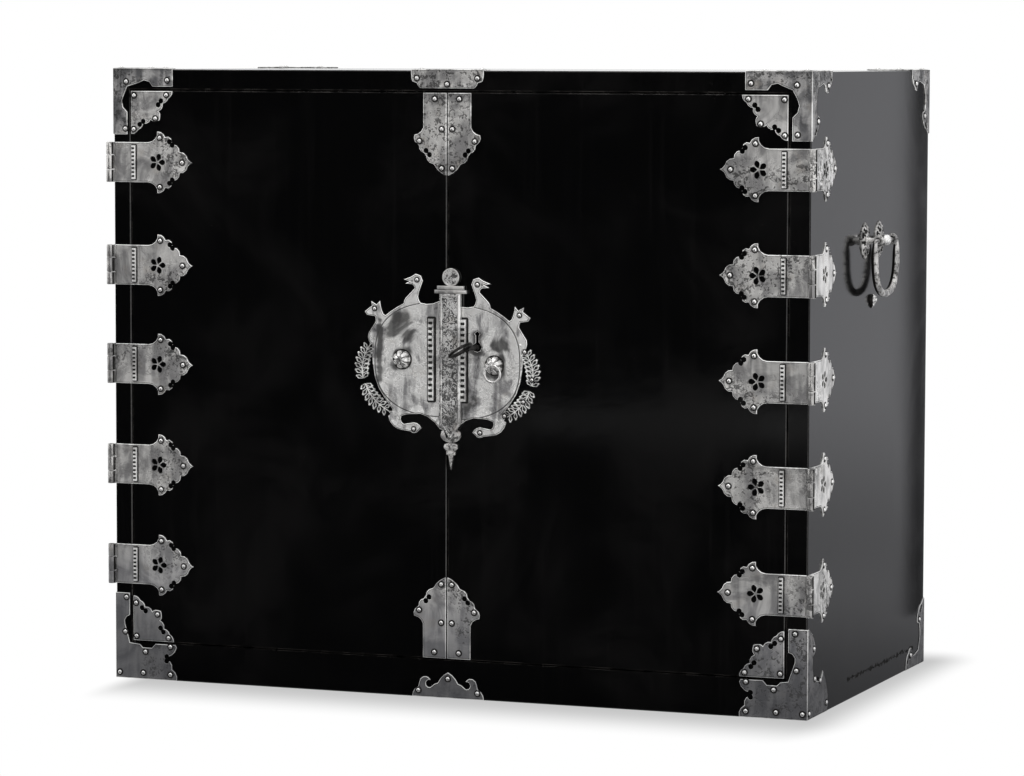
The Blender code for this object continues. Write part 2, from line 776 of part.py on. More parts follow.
def front_wing(rail_shares, stile_shares, reach, rise, rail, stile):
    """Outline of a corner mount's front wing: an arm along the rail and one along the stile."""
    rows = [(0.0, 0.0, 0.0)] + sized(rail_shares, reach, rail)
    rows.append((stile, rail, 0.0))
    rows += sized(stile_shares, stile, rise)
    return open_trace(rows)


def side_wing(shares, reach, rise):
    """Outline of a corner mount's wing on the side or the top."""
    return open_trace([(0.0, 0.0, 0.0)] + sized(shares, reach, rise))


def build_corner_mounts():
    """Eight bent mounts: the upper four also lie on the top."""
    upper_rail = TOP_BOARD - MOUNT_MARGIN
    lower_rail = SILL - MOUNT_MARGIN / 2
    back_rail = BOTTOM_BOARD - MOUNT_MARGIN
    for word, side, wall in (("left", -1, LEFT_WALL), ("right", 1, RIGHT_WALL)):
        stile = wall - MOUNT_MARGIN
        for face, depth in (("front", -1), ("rear", 1)):
            edge_x = side * (RIGHT + FIT)
            edge_y = depth * (REAR + FIT)
            inwards = (-side, 0, 0)
            along = (0, -depth, 0)
            down = (0, 0, -1)
            up = (0, 0, 1)
            corner = (edge_x, edge_y, CASE_HEIGHT + FIT)
            reach = TOP_MOUNT_REACH
            outline = front_wing(TOP_RAIL_SHARES, TOP_STILE_SHARES, reach, reach, upper_rail, stile)
            wings = [
                ([outline], corner, inwards, down, (0, depth, 0)),
                ([side_wing(SIDE_WING_SHARES, reach, reach)], corner, along, down, (side, 0, 0)),
                ([side_wing(SIDE_WING_SHARES, reach, reach)], corner, inwards, along, up),
            ]
            plate(f"corner_mount_top_{face}_{word}", wings, MOUNT_THICKNESS, silver)
            corner = (edge_x, edge_y, FIT)
            reach = FOOT_MOUNT_REACH
            if face == "front":
                rise = FOOT_MOUNT_RISE
                wing_shares = FOOT_WING_SHARES
                outline = front_wing(FOOT_RAIL_SHARES, FOOT_STILE_SHARES, reach, rise, lower_rail, stile)
            else:
                rise = reach
                wing_shares = SIDE_WING_SHARES
                outline = front_wing(TOP_RAIL_SHARES, TOP_STILE_SHARES, reach, rise, back_rail, stile)
            wings = [
                ([outline], corner, inwards, up, (0, depth, 0)),
                ([side_wing(wing_shares, reach, rise)], corner, along, up, (side, 0, 0)),
            ]
            plate(f"corner_mount_foot_{face}_{word}", wings, MOUNT_THICKNESS, silver)


def build_rail_mounts():
    """Middle mounts of the top rail, bent over the top, and of the foot."""
    width = RAIL_MOUNT_HALF
    face = even_about_up(open_trace(sized(TOP_CENTRE_SHARES, width, TOP_BOARD - MOUNT_MARGIN)))
    over = [complex(width, 0), complex(width, RAIL_WING_DEPTH)]
    corner = (SEAM, MOUNT_FACE, CASE_HEIGHT + FIT)
    wings = [
        ([face], corner, (1, 0, 0), (0, 0, -1), (0, -1, 0)),
        ([even_about_up(over)], corner, (1, 0, 0), (0, 1, 0), (0, 0, 1)),
    ]
    plate("rail_mount_top", wings, MOUNT_THICKNESS, silver)
    foot = even_about_up(open_trace(sized(FOOT_CENTRE_SHARES, width, FOOT_CENTRE_HEIGHT)))
    wing = ([foot], (SEAM + FOOT_CENTRE_SHIFT, MOUNT_FACE, FIT), (1, 0, 0), (0, 0, 1), (0, -1, 0))
    plate("rail_mount_foot", [wing], MOUNT_THICKNESS, silver)


def build_door_mounts(pivots):
    """A corner mount at each door's outer corners and half a centre mount at its meeting edge."""
    half = open_trace(DOOR_MOUNT_SHARES)
    other = [complex(p.imag, p.real) for p in reversed(half[:-1])]
    corner_shape = [complex(0, 0)] + half + other
    centre_rows = sized(CENTRE_SHARES, CENTRE_HORN_WIDTH, CENTRE_LENGTH)
    centre_outline = [complex(0, 0)] + open_trace(centre_rows) + [complex(0, CENTRE_LENGTH)]
    outer = {"left": LEFT_OPENING + DOOR_GAP, "right": RIGHT_OPENING - DOOR_GAP}
    meeting = {"left": LEFT_MEETING, "right": RIGHT_MEETING}
    margin = DOOR_MOUNT_MARGIN
    for level, edge, direction, across, up in (
        ("top", HEAD - DOOR_GAP, -1, TOP_DOOR_MOUNT_WIDTH, TOP_DOOR_MOUNT_HEIGHT),
        ("foot", SILL + DOOR_GAP, 1, FOOT_DOOR_MOUNT_WIDTH, FOOT_DOOR_MOUNT_HEIGHT),
    ):
        height = edge + direction * margin
        corner_outline = [complex(p.real * across, p.imag * up) for p in corner_shape]
        for word, side in (("left", -1), ("right", 1)):
            corner = (outer[word] - side * margin / 2, MOUNT_FACE, height)
            wing = ([corner_outline], corner, (-side, 0, 0), (0, 0, direction), (0, -1, 0))
            mount = plate(f"door_corner_{level}_{word}", [wing], MOUNT_THICKNESS, silver)
            hang(mount, pivots[word])
            corner = (meeting[word], MOUNT_FACE, height)
            wing = ([centre_outline], corner, (side, 0, 0), (0, 0, direction), (0, -1, 0))
            mount = plate(f"door_centre_{level}_{word}", [wing], MOUNT_THICKNESS, silver)
            hang(mount, pivots[word])


def keyhole():
    """Outline of the hole in the right plate: a round for the stem under a slot for the bit."""
    half = [complex(0.0, -KEY_HOLE_RADIUS)]
    side_angles = [-0.25 * math.pi, 0.0, 0.25 * math.pi]
    half += [cmath.rect(KEY_HOLE_RADIUS, angle) for angle in side_angles]
    neck = math.sqrt(KEY_HOLE_RADIUS**2 - KEY_SLOT_HALF**2)
    half += [complex(KEY_SLOT_HALF, neck), complex(KEY_SLOT_HALF, KEY_SLOT_RISE)]
    head = complex(0.0, KEY_SLOT_RISE + KEY_SLOT_HEAD / 2)
    half += [head + KEY_SLOT_HEAD, head + 1j * KEY_SLOT_HEAD]
    place = complex(KEY_REACH - SEAM_GAP / 2, KEY_RISE + RIGHT_PLATE_DROP)
    return [place + point for point in even_about_up(half)]


def boss_guide(name, place):
    """A domed boss on a plate, its flat back inside the plate."""
    profile = [(share * BOSS_RADIUS, rise * BOSS_HEIGHT) for share, rise in BOSS_SHARES]
    mesh = turned_mesh(name, profile + [(0.0, 0.0)], BOSS_SIDES)
    mesh.transform(Matrix.Rotation(math.pi / 2, 4, "X"))
    return helper(name, mesh, place)


def build_lock_plates(pivots):
    """The two halves of the lock's face plate, each with a boss and a ribbed bar."""
    outline = open_trace(sized(LOCK_PLATE_SHARES, LOCK_SPAN, LOCK_SPAN))
    gap = open_trace(sized(GARLAND_GAP_SHARES, LOCK_SPAN, LOCK_SPAN))
    plate_middle = MOUNT_FACE - PLATE_THICKNESS / 2
    for word, side, meeting, drop, reach, rise, rib_x in (
        ("left", -1, LEFT_MEETING, 0.0, LEFT_BOSS_REACH, LEFT_BOSS_RISE, LEFT_RIB_X),
        ("right", 1, RIGHT_MEETING, RIGHT_PLATE_DROP, RIGHT_BOSS_REACH, RIGHT_BOSS_RISE, RIGHT_RIB_X),
    ):
        outlines = [outline, gap] + ([keyhole()] if side > 0 else [])
        origin = (meeting, MOUNT_FACE, LOCK_LEVEL - drop)
        wing = (outlines, origin, (side, 0, 0), (0, 0, 1), (0, -1, 0))
        face = plate(f"lock_plate_{word}", [wing], PLATE_THICKNESS, silver)
        boss_x = SEAM + side * reach
        boss_z = LOCK_LEVEL + rise
        combine(face, boss_guide(f"boss_{word}", (boss_x, plate_middle, boss_z)), "UNION")
        rib = span_box(
            f"lock_rib_{word}",
            (rib_x - LOCK_RIB_WIDTH / 2, plate_middle - LOCK_RIB_HEIGHT, LOCK_LEVEL - LOCK_RIB_LENGTH / 2),
            (rib_x + LOCK_RIB_WIDTH / 2, plate_middle, LOCK_LEVEL + LOCK_RIB_LENGTH / 2),
        )
        combine(face, rib, "UNION")
        if side > 0:
            place = (boss_x, MOUNT_FACE - RING_STANDOFF, boss_z)
            eye = rod_mesh("ring_eye", RING_EYE_RADIUS, RING_EYE_LENGTH, BARREL_SIDES, "X")
            combine(face, helper("ring_eye", eye, place), "UNION")
            bore = rod_mesh("ring_bore", RING_WIRE + RING_PLAY, 2 * BOSS_RADIUS, BARREL_SIDES, "X")
            combine(face, helper("ring_bore", bore, place), "DIFFERENCE")
        hang(face, pivots[word])


def build_ring_pull(pivots):
    """The ring that hangs in the right boss's eye, its origin on the eye's axis."""
    place = (SEAM + RIGHT_BOSS_REACH, MOUNT_FACE - RING_STANDOFF, LOCK_LEVEL + RIGHT_BOSS_RISE)
    points = []
    for step in range(KEY_BOW_POINTS):
        angle = 2 * math.pi * step / KEY_BOW_POINTS
        points.append((RING_RADIUS * math.sin(angle), 0.0, RING_RADIUS * (math.cos(angle) - 1)))
    mesh = tube_mesh("ring_pull", points, [1.0] * len(points), RING_WIRE)
    ring = new_object("ring_pull", mesh, silver, place)
    hang(ring, pivots["right"])


def build_staff(pivots):
    """The bar over the meeting line, fixed to the right door."""
    outline = even_about_up(open_trace(sized(STAFF_SHARES, LOCK_SPAN, LOCK_SPAN)))
    face = MOUNT_FACE - PLATE_THICKNESS - FIT
    wing = ([outline], (-STAFF_SHIFT, face, LOCK_LEVEL), (1, 0, 0), (0, 0, 1), (0, -1, 0))
    staff = plate("lock_staff", [wing], STAFF_DEPTH, silver)
    hang(staff, pivots["right"])


def build_lock_works(pivots):
    """Lock case, bolt and key. The key's bit stands in the bolt's notch."""
    low, high = lock_case_corners()
    case = span_box("lock_case", low, high, new_object, finish=iron)
    wall = LOCK_CASE_WALL
    hollow = span_box(
        "lock_hollow",
        (low[0] + wall, low[1] - OVERRUN, low[2] + wall),
        (high[0] - wall, high[1] - wall, high[2] - wall),
    )
    combine(case, hollow, "DIFFERENCE")
    slot = span_box(
        "bolt_slot",
        (low[0] - OVERRUN, BOLT_FRONT - FIT, BOLT_LOW - FIT),
        (low[0] + 2 * wall, BOLT_BACK + FIT, BOLT_LOW + BOLT_HEIGHT + FIT),
    )
    combine(case, slot, "DIFFERENCE")
    tip_radius = KEY_STEM_RADIUS + LOCK_PLAY
    tip_hole = rod_mesh("tip_hole", tip_radius, 2 * OVERRUN, KEY_SIDES, "Y")
    combine(case, helper("tip_hole", tip_hole, (KEY_X, DOOR_BACK, KEY_Z)), "DIFFERENCE")
    hang(case, pivots["right"])

    bolt_high = (KEY_X + BOLT_TAIL, BOLT_BACK, BOLT_LOW + BOLT_HEIGHT)
    bolt = span_box("lock_bolt", (BOLT_NOSE, BOLT_FRONT, BOLT_LOW), bolt_high, new_object, finish=iron)
    notch_x = KEY_X + BOLT_THROW / 2
    notch = span_box(
        "notch",
        (notch_x - NOTCH_HALF, BOLT_FRONT - OVERRUN, BOLT_LOW - OVERRUN),
        (notch_x + NOTCH_HALF, BOLT_BACK + OVERRUN, BOLT_LOW + NOTCH_DEPTH),
    )
    combine(bolt, notch, "DIFFERENCE")
    hang(bolt, pivots["right"])
    build_key(pivots)


def build_key(pivots):
    """The key along Y, its bit and bow turned to the right of upright, its origin on its axis."""
    tip = DOOR_BACK - FIT
    stem_end = MOUNT_FACE - KEY_BOW_START
    middle = (tip + stem_end) / 2
    stem = rod_mesh("key", KEY_STEM_RADIUS, tip - stem_end, KEY_SIDES, "Y")
    key = new_object("key", stem, iron, (KEY_X, middle, KEY_Z))
    turn = Matrix.Rotation(KEY_TURN, 4, "Y")
    bow_middle = stem_end - KEY_BOW_HALF_LENGTH + KEY_BOW_WIRE
    points = []
    for step in range(KEY_BOW_POINTS):
        angle = 2 * math.pi * step / KEY_BOW_POINTS
        points.append((0.0, KEY_BOW_HALF_LENGTH * math.cos(angle), KEY_BOW_HALF_WIDTH * math.sin(angle)))
    bow_mesh = tube_mesh("key_bow", points, [1.0] * len(points), KEY_BOW_WIRE)
    bow_mesh.transform(turn)
    combine(key, helper("key_bow", bow_mesh, (KEY_X, bow_middle, KEY_Z)), "UNION")
    bit_size = (KEY_BIT_THICKNESS, BOLT_THICKNESS, KEY_BIT_REACH)
    bit_mesh = box_mesh("key_bit", bit_size)
    bit_mesh.transform(turn @ Matrix.Translation((0.0, 0.0, KEY_BIT_REACH / 2)))
    bit_place = (KEY_X, (BOLT_FRONT + BOLT_BACK) / 2, KEY_Z)
    combine(key, helper("key_bit", bit_mesh, bit_place), "UNION")
    hang(key, pivots["right"])


def build_handles():
    """On each side two rosettes with eyes, and the bail that hangs in them."""
    bar_radius = BAIL_RADIUS * BAIL_BAR_SHARE
    for word, side in (("left", -1), ("right", 1)):
        base_x = side * (RIGHT + FIT)
        axis_x = side * (RIGHT + EYE_STANDOFF)
        turn = Matrix.Rotation(side * math.pi / 2, 4, "Y")
        for place, offset in (("front", -EYE_SPACING / 2), ("rear", EYE_SPACING / 2)):
            profile = [(0.0, 0.0)]
            profile += [(share * ROSETTE_RADIUS, rise * ROSETTE_HEIGHT) for share, rise in ROSETTE_SHARES]
            profile += [(POST_RADIUS, ROSETTE_HEIGHT), (POST_RADIUS, EYE_STANDOFF - FIT)]
            profile += [(0.0, EYE_STANDOFF - FIT)]
            mesh = turned_mesh("rosette", profile, ROSETTE_SIDES)
            mesh.transform(turn)
            name = f"handle_eye_{place}_{word}"
            eye = new_object(name, mesh, silver, (base_x, offset, HANDLE_LEVEL))
            loop = rod_mesh("eye_loop", EYE_RADIUS, EYE_LENGTH, BARREL_SIDES, "Y")
            combine(eye, helper(f"{name}_loop", loop, (axis_x, offset, HANDLE_LEVEL)), "UNION")
            bore = rod_mesh("eye_bore", bar_radius + EYE_PLAY, 2 * EYE_LENGTH, BARREL_SIDES, "Y")
            combine(eye, helper(f"{name}_bore", bore, (axis_x, offset, HANDLE_LEVEL)), "DIFFERENCE")
        build_bail(word, axis_x)


def build_bail(word, axis_x):
    """One bail: a D of round rod, thin along its bar, with a ball between the eyes."""
    path = even_about_up(open_trace(sized(BAIL_SHARES, BAIL_HALF_WIDTH, BAIL_DROP)))
    points = [(0.0, p.real, p.imag) for p in path]
    radii = [BAIL_BAR_SHARE if p.imag > -BAIL_RADIUS else 1.0 for p in path]
    mesh = tube_mesh("bail", points, radii, BAIL_RADIUS)
    bail = new_object(f"bail_{word}", mesh, silver, (axis_x, 0.0, HANDLE_LEVEL))
    profile = []
    for step in range(BOSS_SIDES // 2 + 1):
        angle = 2 * math.pi * step / BOSS_SIDES
        profile.append((BAIL_BALL_RADIUS * math.sin(angle), BAIL_BALL_RADIUS * math.cos(angle)))
    ball = turned_mesh("bail_ball", profile, BOSS_SIDES)
    ball.transform(Matrix.Rotation(math.pi / 2, 4, "X"))
    combine(bail, helper(f"bail_ball_{word}", ball, bail.location), "UNION")


for leftover in list(bpy.data.objects):
    bpy.data.objects.remove(leftover, do_unlink=True)
cabinet = bpy.data.collections.new("lacquer_cabinet")
cutters = bpy.data.collections.new("cutters")
bpy.context.scene.collection.children.link(cabinet)
bpy.context.scene.collection.children.link(cutters)
lacquer = material("black_lacquer", (0.010, 0.010, 0.011), 0.18, 0.0)
silver = material("white_metal", (0.52, 0.51, 0.50), 0.38, 1.0)
iron = material("blackened_iron", (0.035, 0.033, 0.032), 0.5, 0.9)

axis_y = FRONT - AXIS_OFFSET
door_pivots = {
    "left": pivot_empty("door_left_axis", (LEFT - AXIS_OFFSET, axis_y, 0.0)),
    "right": pivot_empty("door_right_axis", (RIGHT + AXIS_OFFSET, axis_y, 0.0)),
}
build_case()
left_door, right_door = build_doors()
hang(left_door, door_pivots["left"])
hang(right_door, door_pivots["right"])
build_hinges(door_pivots)
build_corner_mounts()
build_rail_mounts()
build_door_mounts(door_pivots)
build_lock_plates(door_pivots)
build_ring_pull(door_pivots)
build_staff(door_pivots)
build_lock_works(door_pivots)
build_handles()
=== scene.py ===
"""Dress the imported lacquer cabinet: worn white-metal mounts over polished black lacquer."""

import json
import logging
import math
from contextlib import contextmanager
from dataclasses import dataclass
from enum import Enum
from typing import Any, Callable, Iterator, Sequence

import bmesh
import bpy
from mathutils import Matrix, Vector


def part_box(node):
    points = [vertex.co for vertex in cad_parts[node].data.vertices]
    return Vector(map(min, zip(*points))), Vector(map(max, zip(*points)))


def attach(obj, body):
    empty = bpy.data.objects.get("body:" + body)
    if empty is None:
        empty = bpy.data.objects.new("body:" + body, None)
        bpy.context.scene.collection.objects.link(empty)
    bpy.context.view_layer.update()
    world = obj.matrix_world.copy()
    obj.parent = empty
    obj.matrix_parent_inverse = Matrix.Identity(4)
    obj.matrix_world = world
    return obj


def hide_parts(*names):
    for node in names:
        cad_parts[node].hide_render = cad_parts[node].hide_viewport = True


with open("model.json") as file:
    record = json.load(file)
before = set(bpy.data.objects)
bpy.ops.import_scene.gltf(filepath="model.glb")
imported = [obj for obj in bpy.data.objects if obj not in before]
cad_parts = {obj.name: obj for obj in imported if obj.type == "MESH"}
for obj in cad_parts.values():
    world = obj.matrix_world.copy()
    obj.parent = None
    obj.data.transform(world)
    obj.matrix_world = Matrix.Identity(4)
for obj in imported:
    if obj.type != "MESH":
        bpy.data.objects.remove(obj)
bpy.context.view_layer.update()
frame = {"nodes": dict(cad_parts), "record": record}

LOG = logging.getLogger("cabinet")
BODIES = frame["record"]["behaviour"]["bodies"]
BODY_OF = {node: body for body, members in BODIES.items() for node in members}
MM = 0.001
MERGE = 0.000004
UP = Vector((0, 0, 1))
FRONT = Vector((0, -1, 0))


class Side(Enum):
    """The two sides of the cabinet, as the sign of X."""

    LEFT = -1
    RIGHT = 1

    @property
    def word(self) -> str:
        """The side's name as the nodes spell it."""
        return self.name.lower()

    @property
    def outward(self) -> Vector:
        """The direction that the side faces."""
        return Vector((self.value, 0, 0))


def round_turn(count: int) -> list[tuple[float, float]]:
    """The sine and cosine of evenly spaced angles round a full turn."""
    angles = [2 * math.pi * step / count for step in range(count)]
    return [(math.sin(angle), math.cos(angle)) for angle in angles]


class Surface(Enum):
    """How a piece of white metal was worked."""

    SHEET = "sheet"
    RIM = "rim"
    ENGRAVED = "engraved"
    OVAL = "oval"
    DOME = "dome"
    TARNISH = "tarnish"


class Signal:
    """A value on its way through a material. Arithmetic on it adds Math nodes."""

    def __init__(self, graph: "Graph", socket: bpy.types.NodeSocket) -> None:
        """Keep the material's graph and the output that carries the value."""
        self.graph = graph
        self.socket = socket

    def maths(self, operation: str, *values: Any, clamp: bool = False) -> "Signal":
        """Send values through one Math node.

        Args:
            operation: The node's operation.
            values: Up to three values or signals.
            clamp: Whether the result is kept from 0 to 1.

        Returns:
            The result as a signal.
        """
        inputs = {index: value for index, value in enumerate(values)}
        made = self.graph.node("ShaderNodeMath", {"operation": operation, "use_clamp": clamp}, inputs)
        return Signal(self.graph, made.outputs[0])

    def __add__(self, other: Any) -> "Signal":
        """Add."""
        return self.maths("ADD", self, other)

    def __sub__(self, other: Any) -> "Signal":
        """Subtract."""
        return self.maths("SUBTRACT", self, other)

    def __rsub__(self, other: Any) -> "Signal":
        """Subtract from a plain number."""
        return self.maths("SUBTRACT", other, self)

    def __mul__(self, other: Any) -> "Signal":
        """Multiply."""
        return self.maths("MULTIPLY", self, other)

    def __truediv__(self, other: Any) -> "Signal":
        """Divide."""
        return self.maths("DIVIDE", self, other)

    def __pow__(self, other: Any) -> "Signal":
        """Raise to a power."""
        return self.maths("POWER", self, other)

    __radd__ = __add__

    def size(self) -> "Signal":
        """The value without its sign."""
        return self.maths("ABSOLUTE", self)

    def most(self, other: Any) -> "Signal":
        """The larger of two values."""
        return self.maths("MAXIMUM", self, other)

    def kept(self) -> "Signal":
        """The value kept from 0 to 1."""
        return self.maths("ADD", self, 0.0, clamp=True)

    def step(self, low: float, high: float) -> "Signal":
        """A soft step from 0 at low to 1 at high.

        Args:
            low: Where the step starts.
            high: Where it ends.

        Returns:
            The stepped signal.
        """
        inputs = {"Value": self, "From Min": low, "From Max": high}
        made = self.graph.node("ShaderNodeMapRange", {"interpolation_type": "SMOOTHSTEP"}, inputs)
        return Signal(self.graph, made.outputs["Result"])


class Graph:
    """The node tree of one finish, on Object coordinates."""

    def __init__(self, name: str) -> None:
        """Start a material.

        Args:
            name: The material's name.
        """
        self.material = bpy.data.materials.new(name)
        self.material.use_nodes = True
        self.tree = self.material.node_tree
        self.shader = self.tree.nodes["Principled BSDF"]
        self.place = self.node("ShaderNodeTexCoord", {}, {})

    def node(self, kind: str, settings: dict, inputs: dict) -> bpy.types.Node:
        """Add one node.

        Args:
            kind: The node's type.
            settings: Its settings.
            inputs: Values, signals or outputs for its inputs.

        Returns:
            The node.
        """
        made = self.tree.nodes.new(kind)
        for name, value in settings.items():
            setattr(made, name, value)
        for key, value in inputs.items():
            self.feed(made.inputs[key], value)
        return made

    def feed(self, socket: bpy.types.NodeSocket, value: Any) -> None:
        """Set an input, or link it to a signal or an output.

        Args:
            socket: The input.
            value: A number, colour, signal or output.
        """
        source = value.socket if isinstance(value, Signal) else value
        if isinstance(source, bpy.types.NodeSocket):
            self.tree.links.new(source, socket)
        elif socket.type == "RGBA" and len(source) == 3:
            socket.default_value = (*source, 1.0)
        else:
            socket.default_value = source

    def stretched(self, scale: Sequence[float]) -> bpy.types.NodeSocket:
        """Object coordinates with a scale for each axis."""
        inputs = {"Vector": self.place.outputs["Object"], "Scale": tuple(scale)}
        return self.node("ShaderNodeMapping", {}, inputs).outputs["Vector"]

    def noise(
        self,
        scale: float,
        detail: float = 4.0,
        rough: float = 0.6,
        warp: float = 0.0,
        vector: bpy.types.NodeSocket | None = None,
    ) -> Signal:
        """Noise from about 0 to 1.

        Args:
            scale: Features in a metre.
            detail: Octaves.
            rough: How strong the fine octaves are.
            warp: Distortion.
            vector: Coordinates, or None for the object's own.

        Returns:
            The noise.
        """
        vector = vector or self.place.outputs["Object"]
        inputs = {"Vector": vector, "Scale": scale, "Detail": detail, "Roughness": rough, "Distortion": warp}
        return Signal(self, self.node("ShaderNodeTexNoise", {}, inputs).outputs["Fac"])

    def cells(self, scale: float) -> Signal:
        """Distance to the nearest point of a Voronoi pattern, with its cells in a metre."""
        inputs = {"Vector": self.place.outputs["Object"], "Scale": scale}
        return Signal(self, self.node("ShaderNodeTexVoronoi", {}, inputs).outputs["Distance"])

    def axes(self, source: str) -> list[Signal]:
        """The three parts of a texture coordinate, such as Object or Normal."""
        made = self.node("ShaderNodeSeparateXYZ", {}, {"Vector": self.place.outputs[source]})
        return [Signal(self, output) for output in made.outputs]

    def blend(self, share: Any, first: Any, second: Any) -> bpy.types.NodeSocket:
        """Mix two colours or sockets by the second one's share."""
        inputs = {0: share, 6: first, 7: second}
        return self.node("ShaderNodeMix", {"data_type": "RGBA"}, inputs).outputs[2]

    def bump(
        self, height: Signal, depth: float, strength: float, under: bpy.types.NodeSocket | None = None
    ) -> bpy.types.NodeSocket:
        """Relief from a height.

        Args:
            height: Height from 0 to 1.
            depth: The height of 1, in metres.
            strength: How much of it shows.
            under: A normal to add to.

        Returns:
            The normal.
        """
        inputs = {"Height": height, "Distance": depth, "Strength": strength}
        if under is not None:
            inputs["Normal"] = under
        return self.node("ShaderNodeBump", {}, inputs).outputs["Normal"]

    def dress(self, **sockets: Any) -> None:
        """Set or link the shader's sockets. An underscore in a name stands for a space."""
        for key, value in sockets.items():
            self.feed(self.shader.inputs[key.replace("_", " ").title().replace("Ior", "IOR")], value)

    def glow(self, **sockets: Any) -> None:
        """Let the surface shine in the shader's place, with these inputs."""
        made = self.node("ShaderNodeEmission", {}, {key.title(): value for key, value in sockets.items()})
        self.tree.links.new(made.outputs[0], self.tree.nodes["Material Output"].inputs[0])


@dataclass(frozen=True)
class Lacquer:
    """Polished black lacquer with worn arrises, cloudy polish and fine hairlines."""

    name: str
    colour: tuple = (0.0014, 0.0014, 0.0015)
    faded: tuple = (0.0056, 0.0053, 0.0053)
    worn: tuple = (0.085, 0.078, 0.072)
    gloss: float = 0.06

    def material(self) -> bpy.types.Material:
        """Build the finish.

        Returns:
            The material.
        """
        graph = Graph(self.name)
        clouds = graph.noise(7.0, 5.0, 0.62, 0.6)
        grain = graph.noise(1.0, 4.0, 0.65, 0.3, graph.stretched((130.0, 130.0, 3.0)))
        speck = 1.0 - graph.cells(330.0).step(0.05, 0.12)
        rare = speck * graph.noise(24.0, 2.0).step(0.60, 0.72)
        faces = [part.size() for part in graph.axes("Normal")]
        arris = 1.0 - faces[0].most(faces[1]).most(faces[2]).step(0.86, 0.95)
        rubbed = arris * graph.noise(55.0, 5.0, 0.7).step(0.38, 0.62) * 0.3
        fade = (clouds.step(0.42, 0.72) * 0.7 + grain.step(0.52, 0.78) * 0.3).kept()
        colour = graph.blend(fade, self.colour, self.faded)
        colour = graph.blend(rare * 0.5, colour, self.worn)
        colour = graph.blend(rubbed, colour, self.worn)
        hairs = graph.noise(1.0, 3.0, 0.7, 0.2, graph.stretched((700.0, 700.0, 40.0)))
        rough = self.gloss + clouds.step(0.35, 0.75) * 0.05 + grain * 0.03 + rubbed * 0.3 + rare * 0.2
        relief = graph.bump(hairs, 0.00002, 0.35)
        relief = graph.bump(clouds, 0.0006, 0.25, relief)
        graph.dress(base_color=colour, roughness=rough, normal=relief, ior=1.52)
        return graph.material


